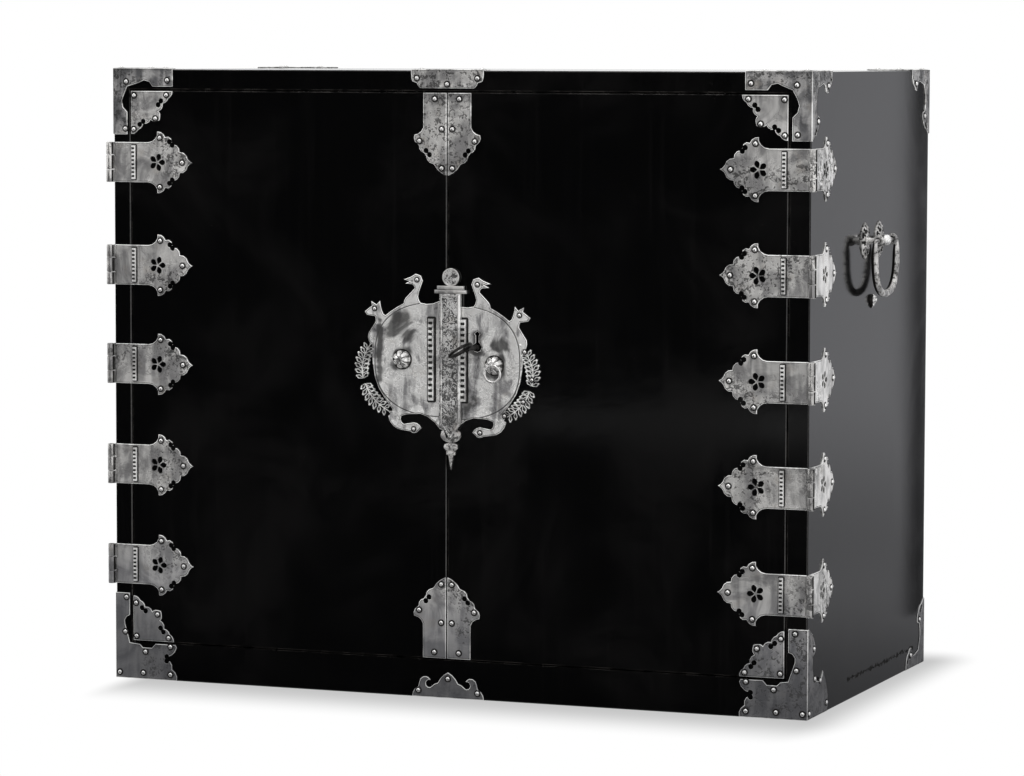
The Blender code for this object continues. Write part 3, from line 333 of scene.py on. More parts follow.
@dataclass(frozen=True)
class WhiteMetal:
    """Old white metal, worked one way or another."""

    surface: Surface
    light: tuple = (0.72, 0.707, 0.69)
    grey: tuple = (0.27, 0.265, 0.265)
    warm: tuple = (0.50, 0.45, 0.39)
    cool: tuple = (0.30, 0.305, 0.345)
    dark: tuple = (0.012, 0.0115, 0.011)
    rough: float = 0.36
    metal: float = 0.62
    polish: tuple = (0.40, 0.60)
    eaten: tuple = (0.40, 0.53)
    middle: tuple = (0.0, 0.0)
    spots: tuple = ()

    def material(self, name: str) -> bpy.types.Material:
        """Build the finish.

        Args:
            name: The material's name.

        Returns:
            The material.
        """
        graph = Graph(name)
        places = graph.noise(6.5, 2.0, 0.5)
        stains = graph.noise(30.0, 4.0, 0.52, 1.4)
        blotches = graph.noise(150.0, 5.0, 0.66, 0.6)
        runs = graph.noise(1.0, 3.0, 0.5, 1.2, graph.stretched((75.0, 75.0, 16.0)))
        fine = graph.noise(1100.0, 3.0, 0.7)
        eaten = places.step(*self.eaten)
        pits = (blotches * 0.55 + graph.noise(420.0, 4.0, 0.7) * 0.45).step(0.500, 0.445) * eaten
        bright = (stains * 0.55 + runs * 0.45).step(*self.polish)
        colour = graph.blend(bright, self.grey, self.light)
        colour = graph.blend(graph.noise(48.0, 3.0).step(0.56, 0.74) * 0.35, colour, self.warm)
        tarnish = (stains * 0.4 + blotches * 0.3 + runs * 0.3).step(0.44, 0.34)
        across, _, up = graph.axes("Object")
        # Darker and bluer towards the bottom of the cabinet, reaching a little higher on the left.
        low = 1.0 - (up - (0.0 - across).most(0.0) * 0.08).step(0.02, 0.15)
        rings = (1.0 - (stains - 0.44).size().step(0.003, 0.016)) * runs.step(0.42, 0.60)
        # Darkening from dull patches, pits, rings and the darker bottom; on the lock face painted shade is
        # added.
        grime_and_shade = (tarnish * 0.62).most(low * 0.74).most(pits * 0.90).most(rings * 0.5)
        relief = graph.bump(blotches * 0.55 + fine * 0.10 - pits * 0.7, 0.00030, 0.8)
        colour = graph.blend(low * 0.55, colour, self.cool)
        # Rims, bars and leaflets are painted lighter and cleaner: a painted highlight.
        if self.surface is Surface.RIM:
            grime_and_shade = grime_and_shade * 0.6
            colour = graph.blend(0.25 + stains.step(0.38, 0.60) * 0.6, colour, self.light)
        elif self.surface is Surface.DOME:
            grime_and_shade = grime_and_shade * 0.15
            colour = graph.blend(0.75, colour, self.light)
        else:
            relief = graph.bump(stains, 0.0024, 0.5, relief)
        if self.surface is Surface.ENGRAVED:
            grime_and_shade, relief = self.arabesque(graph, grime_and_shade, relief)
        elif self.surface is Surface.OVAL:
            grime_and_shade = (tarnish * 0.85).most(pits * 0.40).most(rings * 0.6)
            grime_and_shade, relief = self.lock_face(graph, grime_and_shade, relief, stains)
        # Near-black, mostly painted shade.
        elif self.surface is Surface.TARNISH:
            grime_and_shade = (grime_and_shade * 0.1 + 0.97).kept()
        colour = graph.blend(grime_and_shade, colour, self.dark)
        rough = self.rough + grime_and_shade * 0.25 + fine * 0.08 - bright * 0.06
        ior = 1.15 if self.surface is Surface.TARNISH else 1.5
        metal = self.metal - grime_and_shade * self.metal
        graph.dress(base_color=colour, metallic=metal, roughness=rough, normal=relief, ior=ior)
        return graph.material

    def arabesque(self, graph: Graph, grime_and_shade: Signal, relief: bpy.types.NodeSocket) -> tuple:
        """Engrave the panel with curling lines on a darkened ground.

        Args:
            graph: The material's node tree.
            grime_and_shade: How dark the metal is so far.
            relief: The normal so far.

        Returns:
            The darkness and the normal with the engraving.
        """
        scroll = graph.noise(125.0, 1.5, 0.5, 2.4)
        lines = scroll.maths("PINGPONG", scroll * 7.0, 1.0).step(0.50, 0.74)
        stipple = graph.cells(620.0).step(0.22, 0.46)
        ground = (lines * 0.96).most(stipple * 0.35)
        return grime_and_shade.most(ground), graph.bump(1.0 - lines, 0.0005, 0.9, relief)

    def lock_face(self, graph: Graph, grime_and_shade: Signal, relief: bpy.types.NodeSocket, stains: Signal) -> tuple:
        """Engrave the line inside the oval and paint shade on the metal round what stands on it.

        Args:
            graph: The material's node tree.
            grime_and_shade: How dark the metal is so far.
            relief: The normal so far.
            stains: Broad noise that breaks the dark up.

        Returns:
            The darkness and the normal with the line.
        """
        across, _, up = graph.axes("Object")
        span_x, span_z, power = 0.0795, 0.0585, 2.6
        level = ((across - self.middle[0]).size() / span_x) ** power
        level = level + ((up - self.middle[1]).size() / span_z) ** power
        line = 1.0 - (level - 0.955).size().step(0.012, 0.034)
        # The engraved line first, then painted shade round the bar, the boss and the staff, and the dark
        # patches.
        shade = line * 0.92
        for x, z, half_x, half_z, spread in self.spots:
            away_x = ((across - x).size() - half_x).most(0.0)
            away_z = ((up - z).size() - half_z).most(0.0)
            away = (away_x * away_x + away_z * away_z) ** 0.5
            shade = shade.most((away + (stains - 0.5) * spread * 3.0).step(spread, 0.0) * 0.90)
        return grime_and_shade.most(shade), graph.bump(1.0 - line, 0.0004, 0.9, relief)


@dataclass(frozen=True)
class Iron:
    """Blackened iron, rubbed where it is held."""

    scale: tuple = (0.012, 0.011, 0.010)
    rubbed: tuple = (0.055, 0.050, 0.048)

    def material(self, name: str) -> bpy.types.Material:
        """Build the finish.

        Args:
            name: The material's name.

        Returns:
            The material.
        """
        graph = Graph(name)
        rust = graph.noise(240.0, 6.0, 0.7)
        colour = graph.blend(rust.step(0.45, 0.75), self.scale, self.rubbed)
        relief = graph.bump(rust, 0.0002, 0.7)
        graph.dress(base_color=colour, metallic=0.7, roughness=0.34 + rust * 0.25, normal=relief)
        return graph.material


class Finishes:
    """Every finish of the cabinet, built once."""

    def __init__(self) -> None:
        """Build the shared finishes."""
        self.lacquer = Lacquer("black_lacquer").material()
        self.inside = Lacquer("inner_lacquer", colour=(0.010, 0.006, 0.005), gloss=0.22).material()
        self.sheet = WhiteMetal(Surface.SHEET).material("worn_white_metal")
        stained = WhiteMetal(Surface.SHEET, (0.50, 0.49, 0.485), (0.12, 0.12, 0.125), eaten=(0.36, 0.48))
        self.stained = stained.material("stained_mount")
        # A whiter, more matt copy of the sheet for the leaves on the case's sides.
        rubbed = WhiteMetal(Surface.SHEET, (0.97, 0.96, 0.945), (0.46, 0.455, 0.45), rough=0.30, metal=0.45)
        self.rubbed = rubbed.material("rubbed_leaf")
        # The bright finish of chamfered rims, bars, leaflets and strips, whitened as a painted highlight.
        rim = WhiteMetal(Surface.RIM, light=(0.96, 0.955, 0.94), rough=0.34, metal=0.45)
        self.rim = rim.material("rubbed_rim")
        light, grey = (0.95, 0.94, 0.93), (0.60, 0.59, 0.58)
        dome = WhiteMetal(Surface.DOME, light=light, grey=grey, rough=0.14, metal=0.85)
        self.dome = dome.material("polished_nail")
        self.barrel = WhiteMetal(Surface.SHEET, rough=0.26, metal=0.85).material("turned_barrel")
        # The near-black finish: painted shade in the bars' hollows, round the bars, in the rims' grooves,
        # behind the pierced flowers, in the bosses' seams, in the rosettes' flutes and on the shaded sides
        # of knuckles, bails and studs; also the dark nail and boss collars, the leaflets' hollows and the
        # lacquer's crack.
        self.tarnish = WhiteMetal(Surface.TARNISH, rough=0.5, metal=0.5).material("tarnish")
        self.nailed = (self.dome, self.tarnish)
        self.relief = (self.rim, self.tarnish)
        engraved = WhiteMetal(Surface.ENGRAVED, (0.90, 0.89, 0.88), (0.48, 0.475, 0.47), rough=0.32)
        self.engraved = engraved.material("engraved_panel")
        self.iron = Iron().material("blackened_iron")

    def oval(self, name: str, middle: tuple, spots: tuple) -> bpy.types.Material:
        """The lock face's finish with its engraved edge line.

        Args:
            name: The material's name.
            middle: The oval's middle as X and Z.
            spots: X, Z, half width, half height and spread of each place of painted shade and each dark
                patch.

        Returns:
            The material.
        """
        light, grey = (0.98, 0.97, 0.955), (0.34, 0.335, 0.34)
        finish = WhiteMetal(Surface.OVAL, light, grey, polish=(0.39, 0.51), middle=middle, spots=spots)
        return finish.material(name)


@dataclass(frozen=True)
class Wing:
    """A flat face of sheet metal: its corner on the outer surface and three directions."""

    corner: Vector
    across: Vector
    up: Vector
    outward: Vector

    def point(self, a: float, b: float, lift: float = 0.0) -> Vector:
        """A place on the wing, in metres from its corner."""
        return self.corner + self.across * a + self.up * b + self.outward * lift

    def stand(self, a: float, b: float, lift: float = 0.0, turn: float = 0.0) -> Matrix:
        """The move that stands a template on the wing, its Z outwards.

        Args:
            a: Distance across.
            b: Distance up.
            lift: Distance out.
            turn: Turn about the outward direction.

        Returns:
            The matrix.
        """
        third = self.outward.cross(self.across)
        axes = Matrix((self.across, third, self.outward)).transposed().to_4x4()
        return Matrix.Translation(self.point(a, b, lift)) @ axes @ Matrix.Rotation(turn, 4, "Z")

    def towards(self, a: float, b: float, lift: float, heading: tuple) -> Matrix:
        """The move that stands a template on the wing, its Y along a heading.

        Args:
            a: Distance across.
            b: Distance up.
            lift: Distance out.
            heading: The direction across and up.

        Returns:
            The matrix.
        """
        ahead = (self.across * heading[0] + self.up * heading[1]).normalized()
        axes = Matrix((ahead.cross(self.outward), ahead, self.outward)).transposed().to_4x4()
        return Matrix.Translation(self.point(a, b, lift)) @ axes

    def marks(self, *spots: tuple) -> list[Matrix]:
        """The moves to places that are given in millimetres."""
        return [self.stand(a * MM, b * MM) for a, b in spots]

    def pairs(self, *pairs: tuple) -> list[list[Matrix]]:
        """The first and the second holes of pairs that touch, as two groups of moves."""
        return [self.marks(*spots) for spots in zip(*pairs)]


class Bench:
    """Modelling moves that every sub-assembly shares."""

    @staticmethod
    def clear() -> None:
        """Leave edit mode and deselect everything."""
        if bpy.context.mode != "OBJECT":
            bpy.ops.object.mode_set(mode="OBJECT")
        bpy.ops.object.select_all(action="DESELECT")

    @staticmethod
    def focus(*pieces: bpy.types.Object) -> None:
        """Select these pieces alone, the first one active."""
        Bench.clear()
        for piece in pieces:
            piece.select_set(True)
        bpy.context.view_layer.objects.active = pieces[0]

    @staticmethod
    @contextmanager
    def editing(piece: bpy.types.Object, kind: str = "FACE", whole: bool = False) -> Iterator[None]:
        """Edit one piece with nothing or everything selected at first.

        Args:
            piece: The piece.
            kind: VERT, EDGE or FACE.
            whole: Whether everything is selected.

        Yields:
            Nothing.
        """
        Bench.focus(piece)
        bpy.ops.object.mode_set(mode="EDIT")
        bpy.ops.mesh.select_mode(type=kind)
        bpy.ops.mesh.select_all(action="SELECT" if whole else "DESELECT")
        yield
        bpy.ops.object.mode_set(mode="OBJECT")

    @staticmethod
    def pick(piece: bpy.types.Object, kind: str, test: Callable[[Any], bool]) -> int:
        """Select the vertices, edges or faces that pass a test.

        Args:
            piece: The piece in edit mode.
            kind: verts, edges or faces.
            test: What a chosen element passes.

        Returns:
            How many were chosen.
        """
        bpy.ops.mesh.select_all(action="DESELECT")
        mesh = bmesh.from_edit_mesh(piece.data)
        chosen = [element for element in getattr(mesh, kind) if test(element)]
        for element in chosen:
            element.select_set(True)
        mesh.select_flush_mode()
        bmesh.update_edit_mesh(piece.data)
        return len(chosen)

    @staticmethod
    def paint(piece: bpy.types.Object, index: int, test: Callable[[Any], bool]) -> None:
        """Give faces that pass a test another of the piece's finishes.

        Args:
            piece: The piece in object mode.
            index: The finish's index.
            test: What a chosen polygon passes.
        """
        while len(piece.data.materials) <= index:
            word = f"slot_{len(piece.data.materials)}"
            spare = bpy.data.materials.get(word) or bpy.data.materials.new(word)
            piece.data.materials.append(spare)
        for face in piece.data.polygons:
            if test(face):
                face.material_index = index

    @staticmethod
    def from_node(node: str, name: str) -> bpy.types.Object:
        """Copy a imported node, with its loose triangles joined into flat faces.

        Args:
            node: The node.
            name: The copy's name.

        Returns:
            The copy.
        """
        piece = bpy.data.objects.new(name, frame["nodes"][node].data.copy())
        bpy.context.scene.collection.objects.link(piece)
        piece.data.materials.clear()
        with Bench.editing(piece, "VERT", True):
            bpy.ops.mesh.customdata_custom_splitnormals_clear()
            bpy.ops.mesh.remove_doubles(threshold=MERGE)
            bpy.ops.mesh.dissolve_limited(angle_limit=math.radians(0.8))
        return piece

    @staticmethod
    def copy(template: bpy.types.Object, move: Matrix, name: str = "copy") -> bpy.types.Object:
        """Copy a template to a place, with its own mesh.

        Args:
            template: The piece to copy.
            move: The move from the template's place.
            name: The copy's name.

        Returns:
            The copy.
        """
        mesh = template.data.copy()
        mesh.transform(move)
        if move.determinant() < 0:
            mesh.flip_normals()
        made = bpy.data.objects.new(name, mesh)
        bpy.context.scene.collection.objects.link(made)
        return made

    @staticmethod
    def settle(piece: bpy.types.Object) -> None:
        """Put a piece's place, turn and scale into its mesh."""
        Bench.focus(piece)
        bpy.ops.object.transform_apply(location=True, rotation=True, scale=True)

    @staticmethod
    def primitive(add: Callable, scale: Sequence[float] = (1, 1, 1), **settings: Any) -> bpy.types.Object:
        """Add a primitive with its place, turn and scale in its mesh.

        Args:
            add: The operator that adds it.
            scale: Its scale.
            settings: The operator's settings.

        Returns:
            The primitive.
        """
        Bench.clear()
        add(**settings)
        piece = bpy.context.object
        piece.scale = scale
        Bench.settle(piece)
        return piece

    @staticmethod
    def run(edge: Any) -> Vector:
        """The way from one end of an edge to the other."""
        return edge.verts[0].co - edge.verts[1].co

    @staticmethod
    def extrude(*move: float) -> None:
        """Extrude the selection and move it."""
        bpy.ops.mesh.extrude_region_move(TRANSFORM_OT_translate={"value": move})

    @staticmethod
    def resize(x: float, y: float, z: float, centre: Sequence[float] = (0, 0, 0)) -> None:
        """Scale the selection about a point."""
        bpy.ops.transform.resize(value=(x, y, z), center_override=centre)

    @staticmethod
    def spread(template: bpy.types.Object, places: Sequence[Matrix], name: str) -> bpy.types.Object:
        """Put a copy of a template in every place, joined, and remove the template.

        Args:
            template: The template.
            places: Where each copy stands.
            name: The joined piece's name.

        Returns:
            The joined copies.
        """
        copies = [Bench.copy(template, place) for place in places]
        bpy.data.objects.remove(template)
        return Bench.join(name, copies)

    @staticmethod
    def join(name: str, pieces: Sequence[bpy.types.Object]) -> bpy.types.Object:
        """Join pieces into the first one.

        Args:
            name: The joined piece's name.
            pieces: The pieces.

        Returns:
            The joined piece.
        """
        most = max(len(piece.data.materials) for piece in pieces)
        if most:
            for piece in pieces:
                Bench.paint(piece, most - 1, lambda face: False)
        Bench.focus(*pieces)
        if len(pieces) > 1:
            bpy.ops.object.join()
        pieces[0].name = name
        return pieces[0]

    @staticmethod
    def cut(piece: bpy.types.Object, cutter: bpy.types.Object) -> None:
        """Cut a piece with a helper solid, which is then removed."""
        Bench.focus(piece)
        step = piece.modifiers.new("cut", "BOOLEAN")
        step.operation = "DIFFERENCE"
        step.solver = "EXACT"
        step.object = cutter
        bpy.ops.object.modifier_apply(modifier=step.name)
        bpy.data.objects.remove(cutter)

    @staticmethod
    def closed(piece: bpy.types.Object) -> None:
        """Merge a shape's doubles and turn its faces outwards."""
        with Bench.editing(piece, "VERT", True):
            bpy.ops.mesh.remove_doubles(threshold=MERGE)
            bpy.ops.mesh.normals_make_consistent(inside=False)

    @staticmethod
    def finish(
        piece: bpy.types.Object,
        body: str,
        finishes: Sequence[bpy.types.Material],
        slot: str = "white_metal",
        angle: float = 32.0,
    ) -> bpy.types.Object:
        """Give a piece its finishes, its smooth shading and the body that it rides on.

        Args:
            piece: The piece.
            body: The body.
            finishes: Its materials in order.
            slot: The record's slot for it; not used.
            angle: The steepest fold that stays smooth, in degrees.

        Returns:
            The piece.
        """
        indices = [face.material_index for face in piece.data.polygons]
        piece.data.materials.clear()
        for finish in finishes:
            piece.data.materials.append(finish)
        piece.data.polygons.foreach_set("material_index", indices)
        Bench.focus(piece)
        bpy.ops.object.shade_smooth_by_angle(angle=math.radians(angle))
        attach(piece, body)
        LOG.info("%s: %d faces on %s", piece.name, len(piece.data.polygons), body)
        return piece


@dataclass
class Nail:
    """A domed nail head in a dark collar."""

    radius: float = 0.00225
    collar: float = 0.0036
    collar_height: float = 0.00018
    height: float = 0.0015
    sides: int = 12
    steps: tuple = (0.30, 0.58, 0.80, 0.95)
    roundness: float = 2.4

    def template(self) -> bpy.types.Object:
        """Model the nail at the origin, its dome up the Z axis.

        Returns:
            The nail. Its collar has the second finish.
        """
        add = bpy.ops.mesh.primitive_circle_add
        nail = Bench.primitive(add, vertices=self.sides, radius=self.collar, fill_type="NGON")
        with Bench.editing(nail, whole=True):
            Bench.extrude(0, 0, self.collar_height)
            bpy.ops.mesh.inset(thickness=self.collar - self.radius)
            done, level = 1.0, 0.0
            for step in self.steps:
                wide = math.sqrt(1.0 - step**self.roundness)
                Bench.extrude(0, 0, (step - level) * self.height)
                bpy.ops.transform.resize(value=(wide / done, wide / done, 1.0))
                done, level = wide, step
        Bench.closed(nail)
        edge, low = self.radius * 1.02, self.collar_height / 2
        Bench.paint(nail, 1, lambda face: face.center.xy.length > edge or face.center.z < low)
        return nail

    def drive(self, places: Sequence[Matrix], name: str) -> bpy.types.Object:
        """Drive a nail in every place, all of them one piece."""
        return Bench.spread(self.template(), places, name)


@dataclass
class RibbedBar:
    """A short bar with a row of small hollows between its rungs, along the Z axis."""

    length: float
    width: float
    height: float
    ribs: int
    seat: float = 0.0010
    narrow: float = 0.86
    bed: float = 0.0021
    bed_height: float = 0.0005
    eased: float = 0.12
    sunk: float = 0.16
    rail: float = 0.37

    def template(self) -> bpy.types.Object:
        """Model the bar about the origin, its height along Y.

        Returns:
            The bar. Its hollows and the dark strip round it have the second finish: painted shade in the
            hollows and a painted shadow round the bar.
        """
        size = (self.width, self.height, self.length)
        bar = Bench.primitive(bpy.ops.mesh.primitive_cube_add, size, size=1.0)
        pitch = self.length / self.ribs
        with Bench.editing(bar, "EDGE"):
            Bench.pick(bar, "edges", lambda edge: edge.calc_length() > self.length * 0.9)
            bpy.ops.mesh.bevel(offset=self.width * self.eased, segments=1, affect="EDGES")
            Bench.pick(bar, "edges", lambda edge: edge.calc_length() > self.length * 0.9)
            bpy.ops.mesh.subdivide(number_cuts=2 * self.ribs)
            bpy.ops.mesh.select_mode(type="FACE")

            def between_rungs(face: Any) -> bool:
                """Whether a face of the front lies between two rungs."""
                share = (face.calc_center_median().z + self.length / 2) / self.length
                return face.normal.y < -0.9 and round(share * (2 * self.ribs + 1) - 0.5) % 2 == 1

            Bench.pick(bar, "faces", between_rungs)
            depth = -self.height * self.sunk
            bpy.ops.mesh.inset(thickness=pitch * 0.02, depth=depth, use_individual=True)
            Bench.resize(self.narrow, 1.0, 1.0)
        Bench.closed(bar)
        below = -self.height / 2 + self.height * 0.03
        rail = self.width * self.rail
        # The hollows between the rungs are painted near-black: painted shade.
        Bench.paint(bar, 1, lambda face: face.center.y > below and abs(face.center.x) < rail)
        return Bench.join("bar_template", [bar, self.bed_piece()])

    def bed_piece(self) -> bpy.types.Object:
        """The dark strip under the bar, wider than it: a painted shadow round the bar.

        Returns:
            The strip.
        """
        size = (self.width + 2 * self.bed, self.bed_height, self.length + 2 * self.bed)
        bed = Bench.primitive(bpy.ops.mesh.primitive_cube_add, size, size=1.0, location=(0, self.seat, 0))
        half = self.bed_height / 2
        with Bench.editing(bed, "EDGE"):
            Bench.pick(bed, "edges", lambda edge: abs(Bench.run(edge).y) > half)
            bpy.ops.mesh.bevel(offset=self.width / 3, segments=3, affect="EDGES")
        Bench.paint(bed, 1, lambda face: True)
        return bed


@dataclass
class Rod:
    """Round wire along a path that lies in one plane."""

    points: Sequence[Vector]
    radii: Sequence[float]
    normal: Vector
    sides: int = 10
    closed: bool = True

    def make(self, name: str) -> bpy.types.Object:
        """Stand a circle at every point and bridge them.

        Args:
            name: The rod's name.

        Returns:
            The rod.
        """
        Bench.clear()
        last = len(self.points) - 1
        for index, (point, radius) in enumerate(zip(self.points, self.radii)):
            before = self.points[index - 1] if self.closed or index else point
            after = self.points[(index + 1) % (last + 1)] if self.closed or index < last else point
            tangent = (after - before).normalized()
            axes = Matrix((self.normal, tangent.cross(self.normal), tangent)).transposed()
            bpy.ops.mesh.primitive_circle_add(
                vertices=self.sides, radius=radius, location=point, rotation=axes.to_euler()
            )
            if index == 0:
                rod = bpy.context.object
                bpy.ops.object.mode_set(mode="EDIT")
        bpy.ops.mesh.select_all(action="SELECT")
        bpy.ops.mesh.bridge_edge_loops(type="CLOSED" if self.closed else "SINGLE")
        if not self.closed:
            bpy.ops.mesh.select_all(action="SELECT")
            bpy.ops.mesh.fill_holes(sides=0)
        bpy.ops.object.mode_set(mode="OBJECT")
        Bench.settle(rod)
        Bench.closed(rod)
        rod.name = name
        return rod


@dataclass
class SheetMetal:
    """A mount cut from sheet: a bright chamfered rim and a dark groove round every edge of its face, then
    countersunk holes; the rim's brightness is a painted highlight, the groove's dark a painted shade line.
    """

    node: str
    wings: Sequence[Wing]
    holes: Sequence[Sequence[Matrix]] = ()
    rim: float = 0.00075
    chamfer: float = 0.00045
    groove: float = 0.00045
    groove_depth: float = 0.00014
    hole: float = 0.0028
    flare: float = 0.0005
    reach: float = 0.003
    sides: int = 16
    lost: Callable[[Any], bool] | None = None
    petals: Sequence[Matrix] = ()
    petal: tuple = (0.0029, 0.0039)
    pinches: tuple = ((0.3, 0.80), (0.6, 0.75), (0.88, 0.60))
    rim_slopes: tuple = (0.35, 0.93, 0.985)

    def punch(self) -> bpy.types.Object:
        """Model the countersunk punch about the origin, its flare up the Z axis.

        Returns:
            The punch.
        """
        add, low = bpy.ops.mesh.primitive_circle_add, (0, 0, -self.reach)
        punch = Bench.primitive(add, vertices=self.sides, radius=self.hole, fill_type="NGON", location=low)
        wide = (self.hole + self.flare) / self.hole
        with Bench.editing(punch, whole=True):
            Bench.extrude(0, 0, self.reach - self.flare / 2)
            Bench.extrude(0, 0, self.flare)
            bpy.ops.transform.resize(value=(wide, wide, 1.0))
        Bench.closed(punch)
        return punch

    def petal_punch(self) -> bpy.types.Object:
        """Shape the round punch into a petal that narrows towards the flower's middle.

        Returns:
            The punch.
        """
        punch = SheetMetal(self.node, self.wings, flare=self.flare / 4).punch()
        half_width, half_length = self.petal
        with Bench.editing(punch, "VERT", True):
            Bench.resize(half_length / self.hole, half_width / self.hole, 1.0)
            for share, pinch in self.pinches:
                limit = -half_length * share
                Bench.pick(punch, "verts", lambda knot: knot.co.x < limit)
                Bench.resize(1.0, pinch, 1.0)
        return punch

    def make(self, cutter: bpy.types.Object | None = None) -> bpy.types.Object:
        """Copy the node, work its rims and pierce it.

        Args:
            cutter: What is cut away before the rims are worked.

        Returns:
            The mount. Its rims have the second finish, a painted highlight, and their grooves the third, a
            painted shade line.
        """
        piece = Bench.from_node(self.node, f"mount_{self.node}")
        if self.lost:
            self.level_off(piece)
        if cutter is not None:
            Bench.cut(piece, cutter)
        for wing in self.wings:
            self.work_rim(piece, wing)
        for group in self.holes:
            Bench.cut(piece, Bench.spread(self.punch(), group, "punches"))
        if self.petals:
            Bench.cut(piece, Bench.spread(self.petal_punch(), self.petals, "punches"))
        # Chamfers get the bright finish as a painted highlight, the grooves inside them the near-black as
        # painted shade.
        low, middle, high = self.rim_slopes
        for wing in self.wings:
            outward = wing.outward
            Bench.paint(piece, 1, lambda face: low < face.normal.dot(outward) < middle)
            Bench.paint(piece, 2, lambda face: middle <= face.normal.dot(outward) < high)
        return piece

    def level_off(self, piece: bpy.types.Object) -> None:
        """Leave out the unwanted faces and close the sheet over them, front and back.

        Args:
            piece: The mount.
        """
        with Bench.editing(piece):
            Bench.pick(piece, "faces", self.lost)
            bpy.ops.mesh.delete(type="FACE")
            bpy.ops.mesh.select_mode(type="EDGE")
            for wing in self.wings:
                for front in (True, False):

                    def on_level(edge: Any) -> bool:
                        """Whether an open edge lies in the sheet's front or back."""
                        middle = (edge.verts[0].co + edge.verts[1].co) / 2
                        proud = (middle - wing.corner).dot(wing.outward)
                        return edge.is_boundary and (proud > -self.chamfer) == front

                    if Bench.pick(piece, "edges", on_level):
                        bpy.ops.mesh.fill(use_beauty=True)
            bpy.ops.mesh.select_all(action="SELECT")
            bpy.ops.mesh.normals_make_consistent(inside=False)

    def work_rim(self, piece: bpy.types.Object, wing: Wing) -> None:
        """Chamfer one wing's outer face along all its edges.

        Args:
            piece: The mount.
            wing: The wing.
        """
        near = self.chamfer
        with Bench.editing(piece):
            found = Bench.pick(
                piece,
                "faces",
                lambda face: face.normal.dot(wing.outward) > 0.995
                and abs((face.calc_center_median() - wing.corner).dot(wing.outward)) < near,
            )
            if found:
                bpy.ops.mesh.quads_convert_to_tris(quad_method="BEAUTY", ngon_method="BEAUTY")
                bpy.ops.transform.translate(value=tuple(-wing.outward * self.chamfer))
                bpy.ops.mesh.inset(thickness=self.rim, depth=self.chamfer, use_even_offset=True)
                bpy.ops.mesh.inset(thickness=self.groove, depth=-self.groove_depth, use_even_offset=True)


@dataclass
class CaseBoards:
    """The lacquered boards of the case and the doors."""

    finishes: Finishes
    level: tuple = ("top_board", "bottom_board", "sill_rail")
    upright: tuple = ("side_left", "side_right", "door_left", "door_right")
    inner: tuple = ("back_board", "shelf")

    def build(self) -> None:
        """Give every board its lacquer."""
        outer = self.level + self.upright
        for names, finish in ((outer, self.finishes.lacquer), (self.inner, self.finishes.inside)):
            for name in names:
                board = frame["nodes"][name]
                board.data.materials.clear()
                board.data.materials.append(finish)
                LOG.info("%s lacquered", name)


@dataclass
class Coats:
    """The lacquer coats that run over the boards' joints, and the crack in the right one."""

    finishes: Finishes
    thick: float = 0.00015
    arris: float = 0.0006
    crack: tuple = (-0.075, 0.172)
    crack_width: float = 0.0019
    crack_steps: int = 110
    ragged: float = 0.0024
    seed: int = 7

    def build(self) -> None:
        """Lay a coat on both sides and on the foot of the front."""
        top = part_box("top_board")[1].z
        foot, joint = (corner.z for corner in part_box("bottom_board"))
        for side in Side:
            low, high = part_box(f"side_{side.word}")
            x = high.x if side is Side.RIGHT else low.x
            size = Vector((self.thick, high.y - low.y - self.arris, top - foot - self.arris))
            place = Vector((x + side.value * self.thick / 2, (low.y + high.y) / 2, (foot + top) / 2))
            self.coat(f"coat_{side.word}", place, size, side.outward)
            if side is Side.RIGHT:
                self.crack_piece(Vector((x + self.thick * 1.8, 0, joint)))
        low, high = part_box("sill_rail")
        left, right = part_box("bottom_board")
        size = Vector((right.x - left.x - self.arris, self.thick, high.z - foot - self.arris))
        front = min(low.y, left.y) - self.thick / 2
        self.coat("coat_foot", Vector(((left.x + right.x) / 2, front, (foot + high.z) / 2)), size, FRONT)

    def coat(self, name: str, place: Vector, size: Vector, outward: Vector) -> None:
        """Lay one coat, its edge eased.

        Args:
            name: The coat's name.
            place: Its middle.
            size: Its size.
            outward: Which way it faces.
        """
        piece = Bench.primitive(bpy.ops.mesh.primitive_cube_add, size, size=1.0, location=place)
        piece.name = name
        with Bench.editing(piece):
            Bench.pick(piece, "faces", lambda face: face.normal.dot(outward) > 0.9)
            bpy.ops.mesh.inset(thickness=self.arris, depth=self.thick / 2)
        Bench.finish(piece, "case", (self.finishes.lacquer,), slot="lacquer", angle=5.0)

    def crack_piece(self, place: Vector) -> None:
        """Lay the ragged crack over the foot's joint.

        Args:
            place: A point of the joint.
        """
        start, end = self.crack
        piece = Bench.primitive(
            bpy.ops.mesh.primitive_grid_add,
            (self.crack_width, end - start, 1.0),
            x_subdivisions=1,
            y_subdivisions=self.crack_steps,
            size=1.0,
            location=(place.x, (start + end) / 2, place.z),
            rotation=(0, math.pi / 2, 0),
        )
        piece.name = "crack_right"
        with Bench.editing(piece, "VERT", True):
            bpy.ops.transform.vertex_random(offset=self.ragged, uniform=1.0, seed=self.seed)
            Bench.resize(0.0, 1.0, 1.0, place)
        Bench.finish(piece, "case", (self.finishes.tarnish,), slot="lacquer", angle=5.0)


